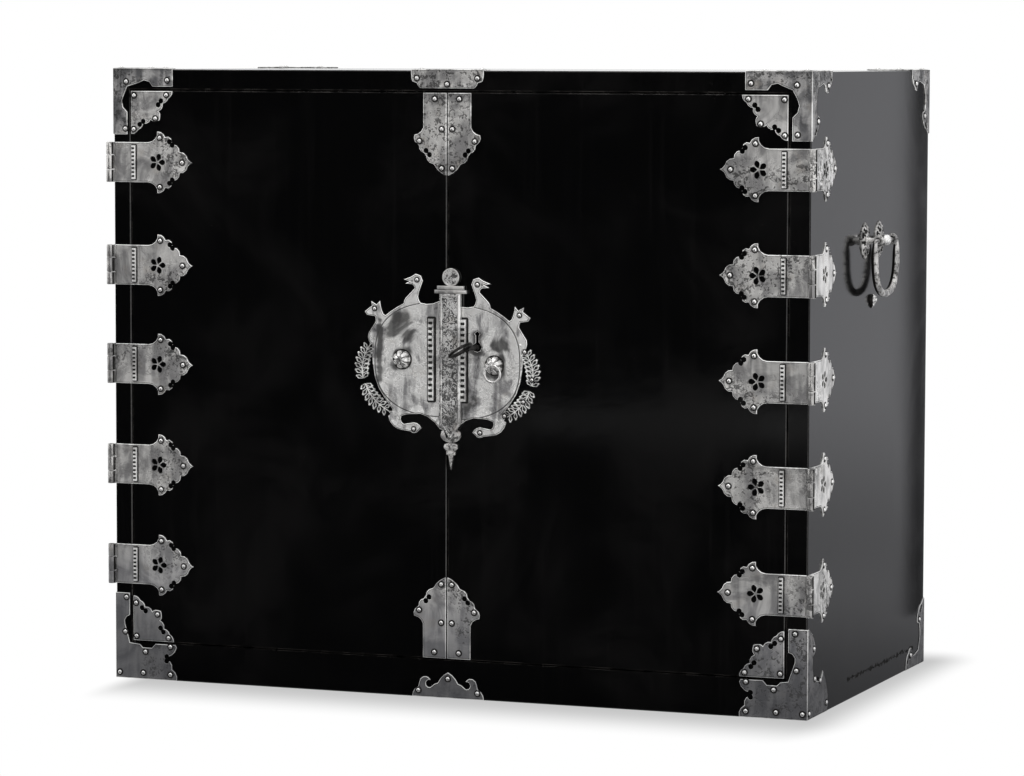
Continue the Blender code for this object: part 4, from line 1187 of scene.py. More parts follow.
@dataclass
class CaseMounts:
    """Corner and rail mounts of the case."""

    finishes: Finishes
    width: float = 0.747
    depth: float = 0.420
    height: float = 0.630
    fit: float = 0.0003
    metal: float = 0.0010
    seam: float = -0.0042
    corner_pairs: tuple = (((62, 8), (56.5, 12.5)), ((14, 57), (10, 60)))
    corner_nails: tuple = (
        ((61, 11.5), (14.5, 13), (13.5, 61)),
        ((52, 14), (19, 48)),
        ((52, 14), (19, 48), (6, 6)),
    )
    foot_pair: tuple = ((57.5, 24.5), (57.5, 20.0))
    foot_nails: tuple = (
        ((4, 6), (31, 6.5), (62, 6), (10.5, 48.5), (12, 84.5), (33.5, 28.5), (62, 35)),
        ((4.5, 6), (19, 68), (22, 38), (40, 34), (62, 9)),
    )

    def corner_wings(self, side: Side, face: int, top: bool) -> list[Wing]:
        """The wings of one corner mount.

        Args:
            side: The cabinet's side.
            face: -1 at the front, 1 at the rear.
            top: Whether it is an upper mount.

        Returns:
            The front or rear wing, the side wing and, at the top, the top wing.
        """
        sign = side.value
        reach_x = sign * (self.width / 2 + self.fit + self.metal)
        reach_y = face * (self.depth / 2 + self.fit + self.metal)
        level = self.height + self.fit if top else self.fit
        up = Vector((0, 0, -1 if top else 1))
        inwards = Vector((-sign, 0, 0))
        along = Vector((0, -face, 0))
        edge_x = sign * (self.width / 2 + self.fit)
        edge_y = face * (self.depth / 2 + self.fit)
        wings = [
            Wing(Vector((edge_x, reach_y, level)), inwards, up, Vector((0, face, 0))),
            Wing(Vector((reach_x, edge_y, level)), along, up, side.outward),
        ]
        if top:
            wings.append(Wing(Vector((edge_x, edge_y, level + self.metal)), inwards, along, UP))
        return wings

    def build(self) -> None:
        """Build the eight corner mounts and the two rail mounts."""
        for side in Side:
            for word, face in (("front", -1), ("rear", 1)):
                for top in (True, False):
                    self.build_corner(side, word, face, top)
        self.build_rails()

    def build_corner(self, side: Side, word: str, face: int, top: bool) -> None:
        """Build one corner mount with its nails.

        Args:
            side: The cabinet's side.
            word: front or rear.
            face: -1 at the front, 1 at the rear.
            top: Whether it is an upper mount.
        """
        wings = self.corner_wings(side, face, top)
        if top or face > 0:
            groups = [wing.pairs(*self.corner_pairs) for wing in wings[1:]]
            holes, nails = [sum(group, []) for group in zip(*groups)], self.corner_nails
        else:
            holes, nails = wings[0].pairs(self.foot_pair), self.foot_nails
        places = sum((wing.marks(*spots) for wing, spots in zip(wings, nails)), [])
        node = f"corner_mount_{'top' if top else 'foot'}_{word}_{side.word}"
        self.dress(node, wings, holes, places)

    def build_rails(self) -> None:
        """Build the middle mounts of the top rail and the foot."""
        front_y = -(self.depth / 2 + self.fit + self.metal)
        right = Side.RIGHT.outward
        level = self.height + self.fit
        face = Wing(Vector((self.seam, front_y, level)), right, Vector((0, 0, -1)), FRONT)
        edge = Vector((self.seam, -(self.depth / 2 + self.fit), level + self.metal))
        over = Wing(edge, right, Vector((0, 1, 0)), UP)
        places = face.marks((-32.5, 8), (32.5, 8), (0, 14)) + over.marks((-32.5, 12), (32.5, 12))
        self.dress("rail_mount_top", [face, over], [], places)
        foot = Wing(Vector((self.seam + 1.5 * MM, front_y, self.fit)), right, UP, FRONT)
        self.dress("rail_mount_foot", [foot], [], foot.marks((-32, 6.5), (32, 6.5), (0, 19.5)))

    def dress(self, node: str, wings: list, holes: list, places: list) -> None:
        """Make one mount and drive its nails.

        Args:
            node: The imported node.
            wings: Its wings.
            holes: Groups of punches.
            places: Where its nails stand.
        """
        body = BODY_OF[node]
        piece = SheetMetal(node, wings, holes).make()
        stained = body == "case" and node != "rail_mount_top"
        sheet = self.finishes.stained if stained else self.finishes.sheet
        Bench.finish(piece, body, (sheet, *self.finishes.relief), angle=20.0)
        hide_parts(node)
        nails = Nail().drive(places, f"nails_{node}")
        Bench.finish(nails, body, self.finishes.nailed, angle=60.0)


@dataclass
class DoorMounts(CaseMounts):
    """Corner and centre mounts of the doors."""

    opening_left: float = -0.3543
    opening_right: float = 0.3508
    half_seam: float = 0.0007
    low: float = 0.0403
    high: float = 0.6077
    corner_pairs: tuple = (((34.2, 10.0), (31.0, 14.0)), ((10.0, 34.2), (14.0, 31.0)))
    corner_nails: tuple = ((4, 4.5), (40.5, 4), (28, 28), (3.5, 39))
    centre_pairs: tuple = (((22.0, 57.5), (18.5, 61.5)),)
    centre_nails: tuple = ((12.5, 6), (5, 36), (29, 48), (5, 75))

    def build(self) -> None:
        """Build the four corner mounts and the four half centre mounts."""
        front_y = -(self.depth / 2 + self.fit + self.metal)
        for side in Side:
            sign = side.value
            outer = self.opening_left if side is Side.LEFT else self.opening_right
            meeting = self.seam + sign * self.half_seam
            for word, level, direction in (("top", self.high, -1), ("foot", self.low, 1)):
                up = Vector((0, 0, direction))
                corner = Wing(Vector((outer, front_y, level)), Vector((-sign, 0, 0)), up, FRONT)
                centre = Wing(Vector((meeting, front_y, level)), side.outward, up, FRONT)
                for kind, wing, pairs, nails in (
                    ("corner", corner, self.corner_pairs, self.corner_nails),
                    ("centre", centre, self.centre_pairs, self.centre_nails),
                ):
                    node = f"door_{kind}_{word}_{side.word}"
                    self.dress(node, [wing], wing.pairs(*pairs), wing.marks(*nails))


@dataclass
class Hinges(CaseMounts):
    """Five hinges a side: pierced leaves, barrels, ribbed bars and nails."""

    leaf: float = 0.0012
    head_length: float = 0.0395
    head_half: float = 0.0315
    pair_shares: tuple = ((0.350, 0.675), (0.425, 0.565))
    nail_shares: tuple = ((0.08, 0.80), (0.08, -0.80), (0.72, 0.0))
    strap_half: float = 0.0205
    door_horn: float = 0.031
    side_horn: float = 0.046
    axis_offset: float = 0.0037
    barrel: float = 0.0036
    knuckle: float = 0.0145
    gap: float = 0.0004
    count: int = 5
    left_wall: float = 0.018
    right_wall: float = 0.0215
    petal_count: int = 5
    petal_reach: float = 0.0052
    flower: float = 0.0105
    bar: tuple = (0.0346, 0.0042, 0.0030)
    bar_seat: float = 0.0010
    bar_bed: float = 0.0012
    bar_inset: float = 0.0048
    strip_thick: float = 0.0016
    strip_width: float = 0.0092
    strip_sink: float = 0.0009
    strip_cells: int = 8
    strip_grooves: tuple = (0, 3, 5, 8)
    strip_ends: float = 0.0010
    strip_proud: float = 0.0004
    strip_inset: float = 0.0095
    barrel_sides: int = 24
    barrel_skin: float = 0.00006
    barrel_eased: float = 0.0006
    ground_sides: int = 20

    def build(self) -> None:
        """Build every hinge."""
        for side in Side:
            middles = [self.level(side, number) for number in range(1, self.count + 1)]
            wall = self.left_wall if side is Side.LEFT else self.right_wall
            level = middles[2]
            proud = self.fit + self.leaf
            edge = Vector((side.value * self.width / 2, -(self.depth / 2 + proud), level))
            door_wing = Wing(edge, Vector((-side.value, 0, 0)), UP, FRONT)
            edge = Vector((side.value * (self.width / 2 + proud), -self.depth / 2, level))
            side_wing = Wing(edge, Vector((0, 1, 0)), UP, side.outward)
            parts = {}
            leaves = (("door", door_wing, wall + self.door_horn), ("side", side_wing, self.side_horn))
            for kind, wing, horn in leaves:
                leaf = self.leaf_piece(f"{kind}_leaf_{side.word}_3", wing, horn)
                parts[kind] = (leaf, self.nail_piece(wing, horn))
            extras = {
                "door": [self.rib(side, wall, level), self.barrel_piece(side, level, 0.0, self.knuckle)],
                "side": self.side_extras(side, level),
            }
            for number, middle in enumerate(middles, 1):
                self.place(side, number, middle - level, parts, extras)
            for group in (*parts.values(), *extras.values()):
                for piece in group:
                    bpy.data.objects.remove(piece)

    def level(self, side: Side, number: int) -> float:
        """The height of a hinge's middle, from its packed leaf."""
        low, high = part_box(f"door_leaf_{side.word}_{number}")
        return (low.z + high.z) / 2

    def leaf_piece(self, node: str, wing: Wing, horn: float) -> bpy.types.Object:
        """Work one leaf from its node, its bar left out and its petals rounded.

        Args:
            node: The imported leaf.
            wing: Its face.
            horn: How far its horns stand from the case's edge.

        Returns:
            The leaf, to be copied.
        """
        pairs = []
        for sign in (1, -1):
            pair = [(horn + a * self.head_length, sign * b * self.head_half) for a, b in self.pair_shares]
            pairs.append([(a / MM, b / MM) for a, b in pair])
        flower = wing.point(horn, 0.0)
        petals = []
        for index in range(self.petal_count):
            heading = 2 * math.pi * index / self.petal_count
            spot = (horn + self.petal_reach * math.cos(heading), self.petal_reach * math.sin(heading))
            turn = heading if wing.outward.cross(wing.across).z > 0 else -heading
            petals.append(wing.stand(*spot, 0.0, turn))

        def left_out(face: Any) -> bool:
            """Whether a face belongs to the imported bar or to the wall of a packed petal."""
            middle = face.calc_center_median()
            place = middle - wing.corner
            across, out = place.dot(wing.across), place.dot(wing.outward)
            on_bar = self.barrel * 2 < across < horn and out > self.leaf / 10
            away = middle - flower
            away -= wing.outward * away.dot(wing.outward)
            return on_bar or (abs(face.normal.dot(wing.outward)) < 0.1 and away.length < self.flower)

        return SheetMetal(node, [wing], wing.pairs(*pairs), lost=left_out, petals=petals).make()

    def nail_piece(self, wing: Wing, horn: float) -> bpy.types.Object:
        """Drive one leaf's nails.

        Args:
            wing: The leaf's face.
            horn: How far its horns stand from the case's edge.

        Returns:
            The nails, to be copied.
        """
        places = []
        for a, b in self.nail_shares:
            places.append(wing.stand(horn + a * self.head_length, b * self.head_half))
        return Nail().drive(places, "leaf_nails")

    def rib(self, side: Side, wall: float, level: float) -> bpy.types.Object:
        """The ribbed bar of a door leaf.

        Args:
            side: The cabinet's side.
            wall: The wall's thickness there.
            level: The hinge's height.

        Returns:
            The bar, to be copied.
        """
        length, width, height = self.bar
        bar = RibbedBar(length, width, height, 8, self.bar_seat, bed=self.bar_bed).template()
        x = side.value * (self.width / 2 - wall - self.bar_inset)
        y = -(self.depth / 2 + self.fit + self.leaf) - self.bar_seat
        bar.data.transform(Matrix.Translation((x, y, level)))
        return bar

    def barrel_piece(self, side: Side, level: float, rise: float, length: float) -> bpy.types.Object:
        """One knuckle of a barrel, with eased ends.

        Args:
            side: The cabinet's side.
            level: The hinge's height.
            rise: The knuckle's middle above it.
            length: The knuckle's length.

        Returns:
            The knuckle, to be copied.
        """
        x = side.value * (self.width / 2 + self.axis_offset)
        place = (x, -(self.depth / 2 + self.axis_offset), level + rise)
        knuckle = Bench.primitive(
            bpy.ops.mesh.primitive_cylinder_add,
            vertices=self.barrel_sides,
            radius=self.barrel + self.barrel_skin,
            depth=length,
            location=place,
        )

        def at_end(edge: Any) -> bool:
            """Whether an edge lies round one of the knuckle's ends."""
            return all(abs(abs(knot.co.z - place[2]) - length / 2) < 1e-5 for knot in edge.verts)

        with Bench.editing(knuckle, "EDGE"):
            Bench.pick(knuckle, "edges", at_end)
            bpy.ops.mesh.bevel(offset=self.barrel_eased, segments=2, affect="EDGES")
        Bench.paint(knuckle, 2, lambda face: True)
        # The knuckle's left and right flanks are painted dark: a painted dark reflection.
        Bench.paint(knuckle, 1, lambda face: abs(face.normal.x) > 0.8)
        return knuckle

    def side_extras(self, side: Side, level: float) -> list[bpy.types.Object]:
        """End knuckles, the flower's ground and the moulded strip of a case leaf.

        Args:
            side: The cabinet's side.
            level: The hinge's height.

        Returns:
            The pieces, to be copied.
        """
        length = self.strap_half - self.knuckle / 2 - self.gap
        middle = self.strap_half - length / 2
        pieces = [self.barrel_piece(side, level, sign * middle, length) for sign in (1, -1)]
        pieces.append(self.ground_piece(side, level))
        wide, cells = self.strip_width, self.strip_cells
        size = (self.strip_thick, wide, self.strap_half * 2 - self.strip_ends)
        strip = Bench.primitive(bpy.ops.mesh.primitive_cube_add, size, size=1.0)

        def in_groove(knot: Any) -> bool:
            """Whether a vertex lies in one of the strip's grooves."""
            return round((knot.co.y / wide + 0.5) * cells) in self.strip_grooves and knot.co.x > 0

        with Bench.editing(strip, "EDGE"):
            Bench.pick(strip, "edges", lambda edge: abs(Bench.run(edge).y) > wide / 2)
            bpy.ops.mesh.subdivide(number_cuts=cells - 1)
            bpy.ops.mesh.select_mode(type="VERT")
            Bench.pick(strip, "verts", in_groove)
            bpy.ops.transform.translate(value=(-self.strip_sink, 0, 0))
        x = side.value * (self.width / 2 + self.fit + self.leaf + self.strip_proud)
        turn = Matrix.Identity(4) if side is Side.RIGHT else Matrix.Rotation(math.pi, 4, "Z")
        strip.data.transform(Matrix.Translation((x, -self.depth / 2 + self.strip_inset, level)) @ turn)
        return [*pieces, strip]

    def ground_piece(self, side: Side, level: float) -> bpy.types.Object:
        """The near-black ground seen through a case leaf's flower: painted shade in its pierced holes.

        Args:
            side: The cabinet's side.
            level: The hinge's height.

        Returns:
            The ground, to be copied.
        """
        x = side.value * (self.width / 2 + self.fit + self.leaf / 5)
        ground = Bench.primitive(
            bpy.ops.mesh.primitive_cylinder_add,
            vertices=self.ground_sides,
            radius=self.flower,
            depth=self.leaf / 5,
            location=(x, -self.depth / 2 + self.side_horn, level),
            rotation=(0, math.pi / 2, 0),
        )
        with Bench.editing(ground):
            Bench.pick(ground, "faces", lambda face: face.normal.x * side.value > 0.9)
            bpy.ops.mesh.inset(thickness=self.flower / 4, depth=-self.leaf / 12)
        # The whole disc is painted shade.
        Bench.paint(ground, 1, lambda face: True)
        return ground

    def place(self, side: Side, number: int, rise: float, parts: dict, extras: dict) -> None:
        """Copy one hinge's pieces to its height.

        Args:
            side: The cabinet's side.
            number: The hinge's number from the foot.
            rise: How far above the third hinge it stands.
            parts: Leaf and nails of each kind.
            extras: Further pieces of each kind.
        """
        move = Matrix.Translation((0, 0, rise))
        for kind in ("door", "side"):
            node = f"{kind}_leaf_{side.word}_{number}"
            body = BODY_OF[node]
            leaf, nails = parts[kind]
            leaf, nails = Bench.copy(leaf, move, f"hinge_{node}"), Bench.copy(nails, move, f"nails_{node}")
            sheet = self.finishes.rubbed if kind == "side" else self.finishes.sheet
            Bench.finish(leaf, body, (sheet, *self.finishes.relief), angle=20.0)
            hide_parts(node)
            Bench.finish(nails, body, self.finishes.nailed, angle=60.0)
            trim = Bench.join(f"trim_{node}", [Bench.copy(part, move) for part in extras[kind]])
            Bench.finish(trim, body, (*self.finishes.relief, self.finishes.barrel), angle=40.0)


@dataclass
class Garland:
    """Two sprays of looped leaflets with beads, beside the lock's oval."""

    length: float = 0.0082
    width: float = 0.0052
    thick: float = 0.0010
    rim: float = 0.00075
    bead: float = 0.00135
    stem: float = 0.0006
    upper: tuple = ((0.0903, -0.0210), (0.0906, -0.0035), (0.0828, 0.0130))
    lower: tuple = ((0.0875, -0.0264), (0.0789, -0.0415), (0.0619, -0.0537))
    pairs: int = 7
    spread: float = math.radians(58)

    def leaflet(self) -> bpy.types.Object:
        """Model a leaflet along the Y axis from the origin: a raised loop with a bead.

        Returns:
            The leaflet. Its hollow has the second finish.
        """
        middle = self.length / 2
        add, size = bpy.ops.mesh.primitive_circle_add, (self.width / 2, middle, 1.0)
        leaf = Bench.primitive(add, size, vertices=10, radius=1.0, fill_type="NGON", location=(0, middle, 0))
        with Bench.editing(leaf, "VERT"):
            Bench.pick(leaf, "verts", lambda knot: knot.co.y < middle * 0.75)
            Bench.resize(0.55, 1.0, 1.0)
            bpy.ops.mesh.select_mode(type="FACE")
            bpy.ops.mesh.select_all(action="SELECT")
            Bench.extrude(0, 0, self.thick)
            bpy.ops.mesh.inset(thickness=self.rim)
            bpy.ops.mesh.inset(thickness=self.rim / 2, depth=-self.thick / 2)
        Bench.closed(leaf)
        inner, below = self.width / 2 - 2 * self.rim, self.thick * 0.8
        Bench.paint(leaf, 1, lambda face: face.center.z < below and abs(face.center.x) < inner)
        add, tip = bpy.ops.mesh.primitive_uv_sphere_add, (0, self.length, self.thick * 0.7)
        bead = Bench.primitive(add, segments=8, ring_count=5, radius=self.bead, location=tip)
        return Bench.join("leaflet_template", [leaf, bead])

    def spray(self, wing: Wing, template: bpy.types.Object, path: tuple, base: float) -> list:
        """Set leaflets on both sides of a stem.

        Args:
            wing: The lock's face.
            template: The leaflet.
            path: The stem's start, middle and end.
            base: How far out the leaflets lie.

        Returns:
            The leaflets and the stem.
        """
        start, middle, end = (Vector(point) for point in path)
        control = middle * 2 - (start + end) / 2
        pieces, stem = [], []
        for index in range(self.pairs + 1):
            share = index / self.pairs
            place = start * (1 - share) ** 2 + control * 2 * share * (1 - share) + end * share**2
            ahead = ((control - start) * (1 - share) + (end - control) * share).normalized()
            stem.append(wing.point(place.x, place.y, base + self.thick / 2))
            if index == self.pairs:
                pieces.append(Bench.copy(template, wing.towards(place.x, place.y, base, ahead)))
                continue
            size = 0.70 + 0.30 * math.sin(math.pi * (share + 0.25) / 1.25)
            for turn in (self.spread, -self.spread):
                sine, cosine = math.sin(turn), math.cos(turn)
                heading = (ahead.x * cosine - ahead.y * sine, ahead.x * sine + ahead.y * cosine)
                move = wing.towards(place.x, place.y, base, heading) @ Matrix.Scale(size, 4)
                pieces.append(Bench.copy(template, move))
        radii = [self.stem * (1.5 - 0.7 * index / self.pairs) for index in range(self.pairs + 1)]
        pieces.append(Rod(stem, radii, wing.outward, 6, False).make("stem"))
        return pieces

    def grow(self, wing: Wing, base: float) -> bpy.types.Object:
        """Model both sprays on a lock's face.

        Args:
            wing: The lock's face.
            base: How far out the leaflets lie.

        Returns:
            The joined sprays.
        """
        template = self.leaflet()
        pieces = self.spray(wing, template, self.upper, base) + self.spray(wing, template, self.lower, base)
        bpy.data.objects.remove(template)
        return Bench.join("garland", pieces)


@dataclass
class Boss:
    """A lobed dome in a low collar."""

    radius: float = 0.0098
    height: float = 0.0094
    lobes: int = 7
    groove: float = 0.76
    steps: int = 4
    seam: float = 0.05

    def template(self) -> bpy.types.Object:
        """Model the boss about the origin, its dome up the Z axis.

        Returns:
            The boss. Its collar and the seams between its lobes have the second finish; on the seams it is
            painted shade in the folds.
        """
        wide = self.radius * 0.96
        add, size = bpy.ops.mesh.primitive_uv_sphere_add, (wide, wide, self.height)
        dome = Bench.primitive(add, size, segments=self.lobes * self.steps, ring_count=14, radius=1.0)
        pitch = 2 * math.pi / self.lobes
        with Bench.editing(dome, "VERT", True):
            bpy.ops.mesh.bisect(plane_co=(0, 0, 0), plane_no=(0, 0, 1), clear_inner=True)

            def in_groove(knot: Any) -> bool:
                """Whether a vertex lies on a groove between two lobes."""
                share = (math.atan2(knot.co.y, knot.co.x) / pitch) % 1.0
                return min(share, 1 - share) < 0.4 / self.steps and knot.co.xy.length > self.radius * 0.12

            Bench.pick(dome, "verts", in_groove)
            Bench.resize(self.groove, self.groove, 0.90)
            Bench.pick(dome, "verts", lambda knot: knot.co.xy.length < self.radius * 0.25)
            Bench.resize(1.0, 1.0, 0.90)
            bpy.ops.mesh.select_mode(type="EDGE")
            Bench.pick(dome, "edges", lambda edge: in_groove(edge.verts[0]) and in_groove(edge.verts[1]))
            bpy.ops.mesh.bevel(offset=self.radius * self.seam, segments=1, affect="EDGES")

        def on_seam(face: Any) -> bool:
            """Whether a face lies on a seam between two lobes, painted dark as shade in the fold."""
            share = (math.atan2(face.center.y, face.center.x) / pitch) % 1.0
            away = min(share, 1 - share) * pitch * face.center.xy.length
            return away < self.radius * self.seam * 0.6

        # The seams between the lobes are painted dark: painted shade in the folds.
        Bench.paint(dome, 1, on_seam)
        collar = Bench.primitive(
            bpy.ops.mesh.primitive_torus_add,
            (1.0, 1.0, 0.7),
            major_segments=32,
            minor_segments=6,
            major_radius=self.radius * 0.98,
            minor_radius=self.radius * 0.09,
        )
        Bench.paint(collar, 1, lambda face: True)
        return Bench.join("boss_template", [dome, collar])


@dataclass
class Lock(CaseMounts):
    """Face plates with garlands, bosses and ribbed bars, the staff, the ring and the key."""

    level: float = 0.3415
    right_drop: float = 0.0025
    half_seam: float = 0.0007
    bar_width: float = 0.0056
    bar_length: float = 0.082
    bar_height: float = 0.0038
    left_bar: float = -0.0207
    right_bar: float = 0.0141
    left_boss: tuple = (-0.0524, 0.3408)
    right_boss: tuple = (0.0468, 0.3372)
    # Dark patches on each plate as X, Z, half width, half height and spread; the first on the right is
    # painted shade round the key.
    left_stains: tuple = (
        (-0.0560, 0.3760, 0.0090, 0.0100, 0.0100),
        (-0.0770, 0.3500, 0.0010, 0.0300, 0.0040),
    )
    right_stains: tuple = (
        (0.0285, 0.3590, 0.0020, 0.0070, 0.0065),
        (0.0520, 0.3570, 0.0050, 0.0010, 0.0090),
    )
    left_nails: tuple = ((-36.5, 421), (-82.5, 391), (-40, 271))
    right_nails: tuple = ((28.5, 417.5), (73.5, 388), (31.5, 269.5))
    garland_nails: tuple = ((79.2, 351.7), (87.0, 324.1), (77.9, 301.8), (57.9, 287.2))
    body_edge: tuple = (
        (0.0802, 0.0142),
        (0.0802, 0.0000),
        (0.0797, -0.0070),
        (0.0777, -0.0190),
        (0.0737, -0.0300),
        (0.0682, -0.0385),
        (0.0627, -0.0455),
        (0.0580, -0.0515),
        (0.0610, -0.0570),
        (0.0665, -0.0605),
        (0.0820, -0.0620),
        (0.1080, -0.0400),
        (0.1100, 0.0142),
    )

    def build(self) -> None:
        """Build the whole lock."""
        for side in Side:
            self.build_plate(side)
        for work in (Staff, RingPull, Key):
            work(self.finishes).build()

    def middle_of(self, side: Side) -> float:
        """The level of one plate's middle."""
        return self.level - (self.right_drop if side is Side.RIGHT else 0.0)

    def wing_of(self, side: Side) -> Wing:
        """The face plate's wing of one door."""
        x = self.seam + side.value * self.half_seam
        y = -(self.depth / 2 + self.fit + self.metal)
        return Wing(Vector((x, y, self.middle_of(side))), side.outward, UP, FRONT)

    def garland_cutter(self, wing: Wing) -> bpy.types.Object:
        """A prism outside the oval, where the leaflets take the sheet's place.

        Args:
            wing: The face plate's wing.

        Returns:
            The prism.
        """
        mesh = bpy.data.meshes.new("garland_cutter")
        knots = [wing.point(a, b, -3 * self.metal) for a, b in self.body_edge]
        mesh.from_pydata(knots, [], [list(range(len(knots)))])
        prism = bpy.data.objects.new("garland_cutter", mesh)
        bpy.context.scene.collection.objects.link(prism)
        with Bench.editing(prism, whole=True):
            Bench.extrude(*(wing.outward * 6 * self.metal))
        Bench.closed(prism)
        return prism

    def build_plate(self, side: Side) -> None:
        """Build one door's face plate with everything on it.

        Args:
            side: The cabinet's side.
        """
        node = f"lock_plate_{side.word}"
        body = BODY_OF[node]
        wing = self.wing_of(side)
        lift = self.metal / 10

        def stands_proud(face: Any) -> bool:
            """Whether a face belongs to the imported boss, bar or eye."""
            return (face.calc_center_median() - wing.corner).dot(wing.outward) > lift

        piece = SheetMetal(node, [wing], lost=stands_proud).make(self.garland_cutter(wing))
        bar_x, (boss_x, boss_z), stains, heads = {
            Side.LEFT: (self.left_bar, self.left_boss, self.left_stains, self.left_nails),
            Side.RIGHT: (self.right_bar, self.right_boss, self.right_stains, self.right_nails),
        }[side]
        # Painted shade round the bar, round the boss and along the staff, then the plate's dark patches.
        spots = (
            (bar_x, self.level, self.bar_width / 2, self.bar_length / 2, 0.0022),
            (boss_x, boss_z, 0.0070, 0.0070, 0.0075),
            (0.0, self.level, 0.0115, 0.0700, 0.0016),
            *stains,
        )
        oval = self.finishes.oval(f"lock_face_{side.word}", (self.seam, self.middle_of(side)), spots)
        Bench.finish(piece, body, (oval, *self.finishes.relief), angle=20.0)
        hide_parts(node)
        garland = Garland().grow(wing, -self.metal)
        garland.name = f"garland_{side.word}"
        Bench.finish(garland, body, self.finishes.relief, angle=45.0)
        self.build_nails(side, wing, heads, body)
        seat = self.bar_height * 0.42
        bar = RibbedBar(self.bar_length, self.bar_width, self.bar_height, 14, seat).template()
        bar.data.transform(Matrix.Translation((bar_x, wing.corner.y - seat, self.level)))
        bar.name = f"lock_bar_{side.word}"
        Bench.finish(bar, body, self.finishes.relief, angle=40.0)
        seat = Wing(Vector((boss_x, wing.corner.y, boss_z)), wing.across, wing.up, wing.outward)
        boss = Bench.spread(Boss().template(), [seat.stand(0, 0)], f"boss_{side.word}")
        Bench.finish(boss, body, self.finishes.nailed, angle=50.0)

    def build_nails(self, side: Side, wing: Wing, heads: tuple, body: str) -> None:
        """Drive the plate's nails.

        Args:
            side: The cabinet's side.
            wing: The face plate's wing.
            heads: X and Z of the nails in its heads and tail, in millimetres.
            body: The body they ride on.
        """
        spots = [(x, z, 0.0, 0.85) for x, z in heads]
        if side is Side.RIGHT:
            spots += [(x, z, 0.3, 0.8) for x, z in self.garland_nails]
        front = Wing(Vector((0, wing.corner.y, 0)), Side.RIGHT.outward, UP, wing.outward)
        places = []
        for x, z, lift, size in spots:
            places.append(front.stand(x * MM, z * MM, lift * MM) @ Matrix.Scale(size, 4))
        nails = Nail().drive(places, f"nails_lock_{side.word}")
        Bench.finish(nails, body, self.finishes.nailed, angle=60.0)


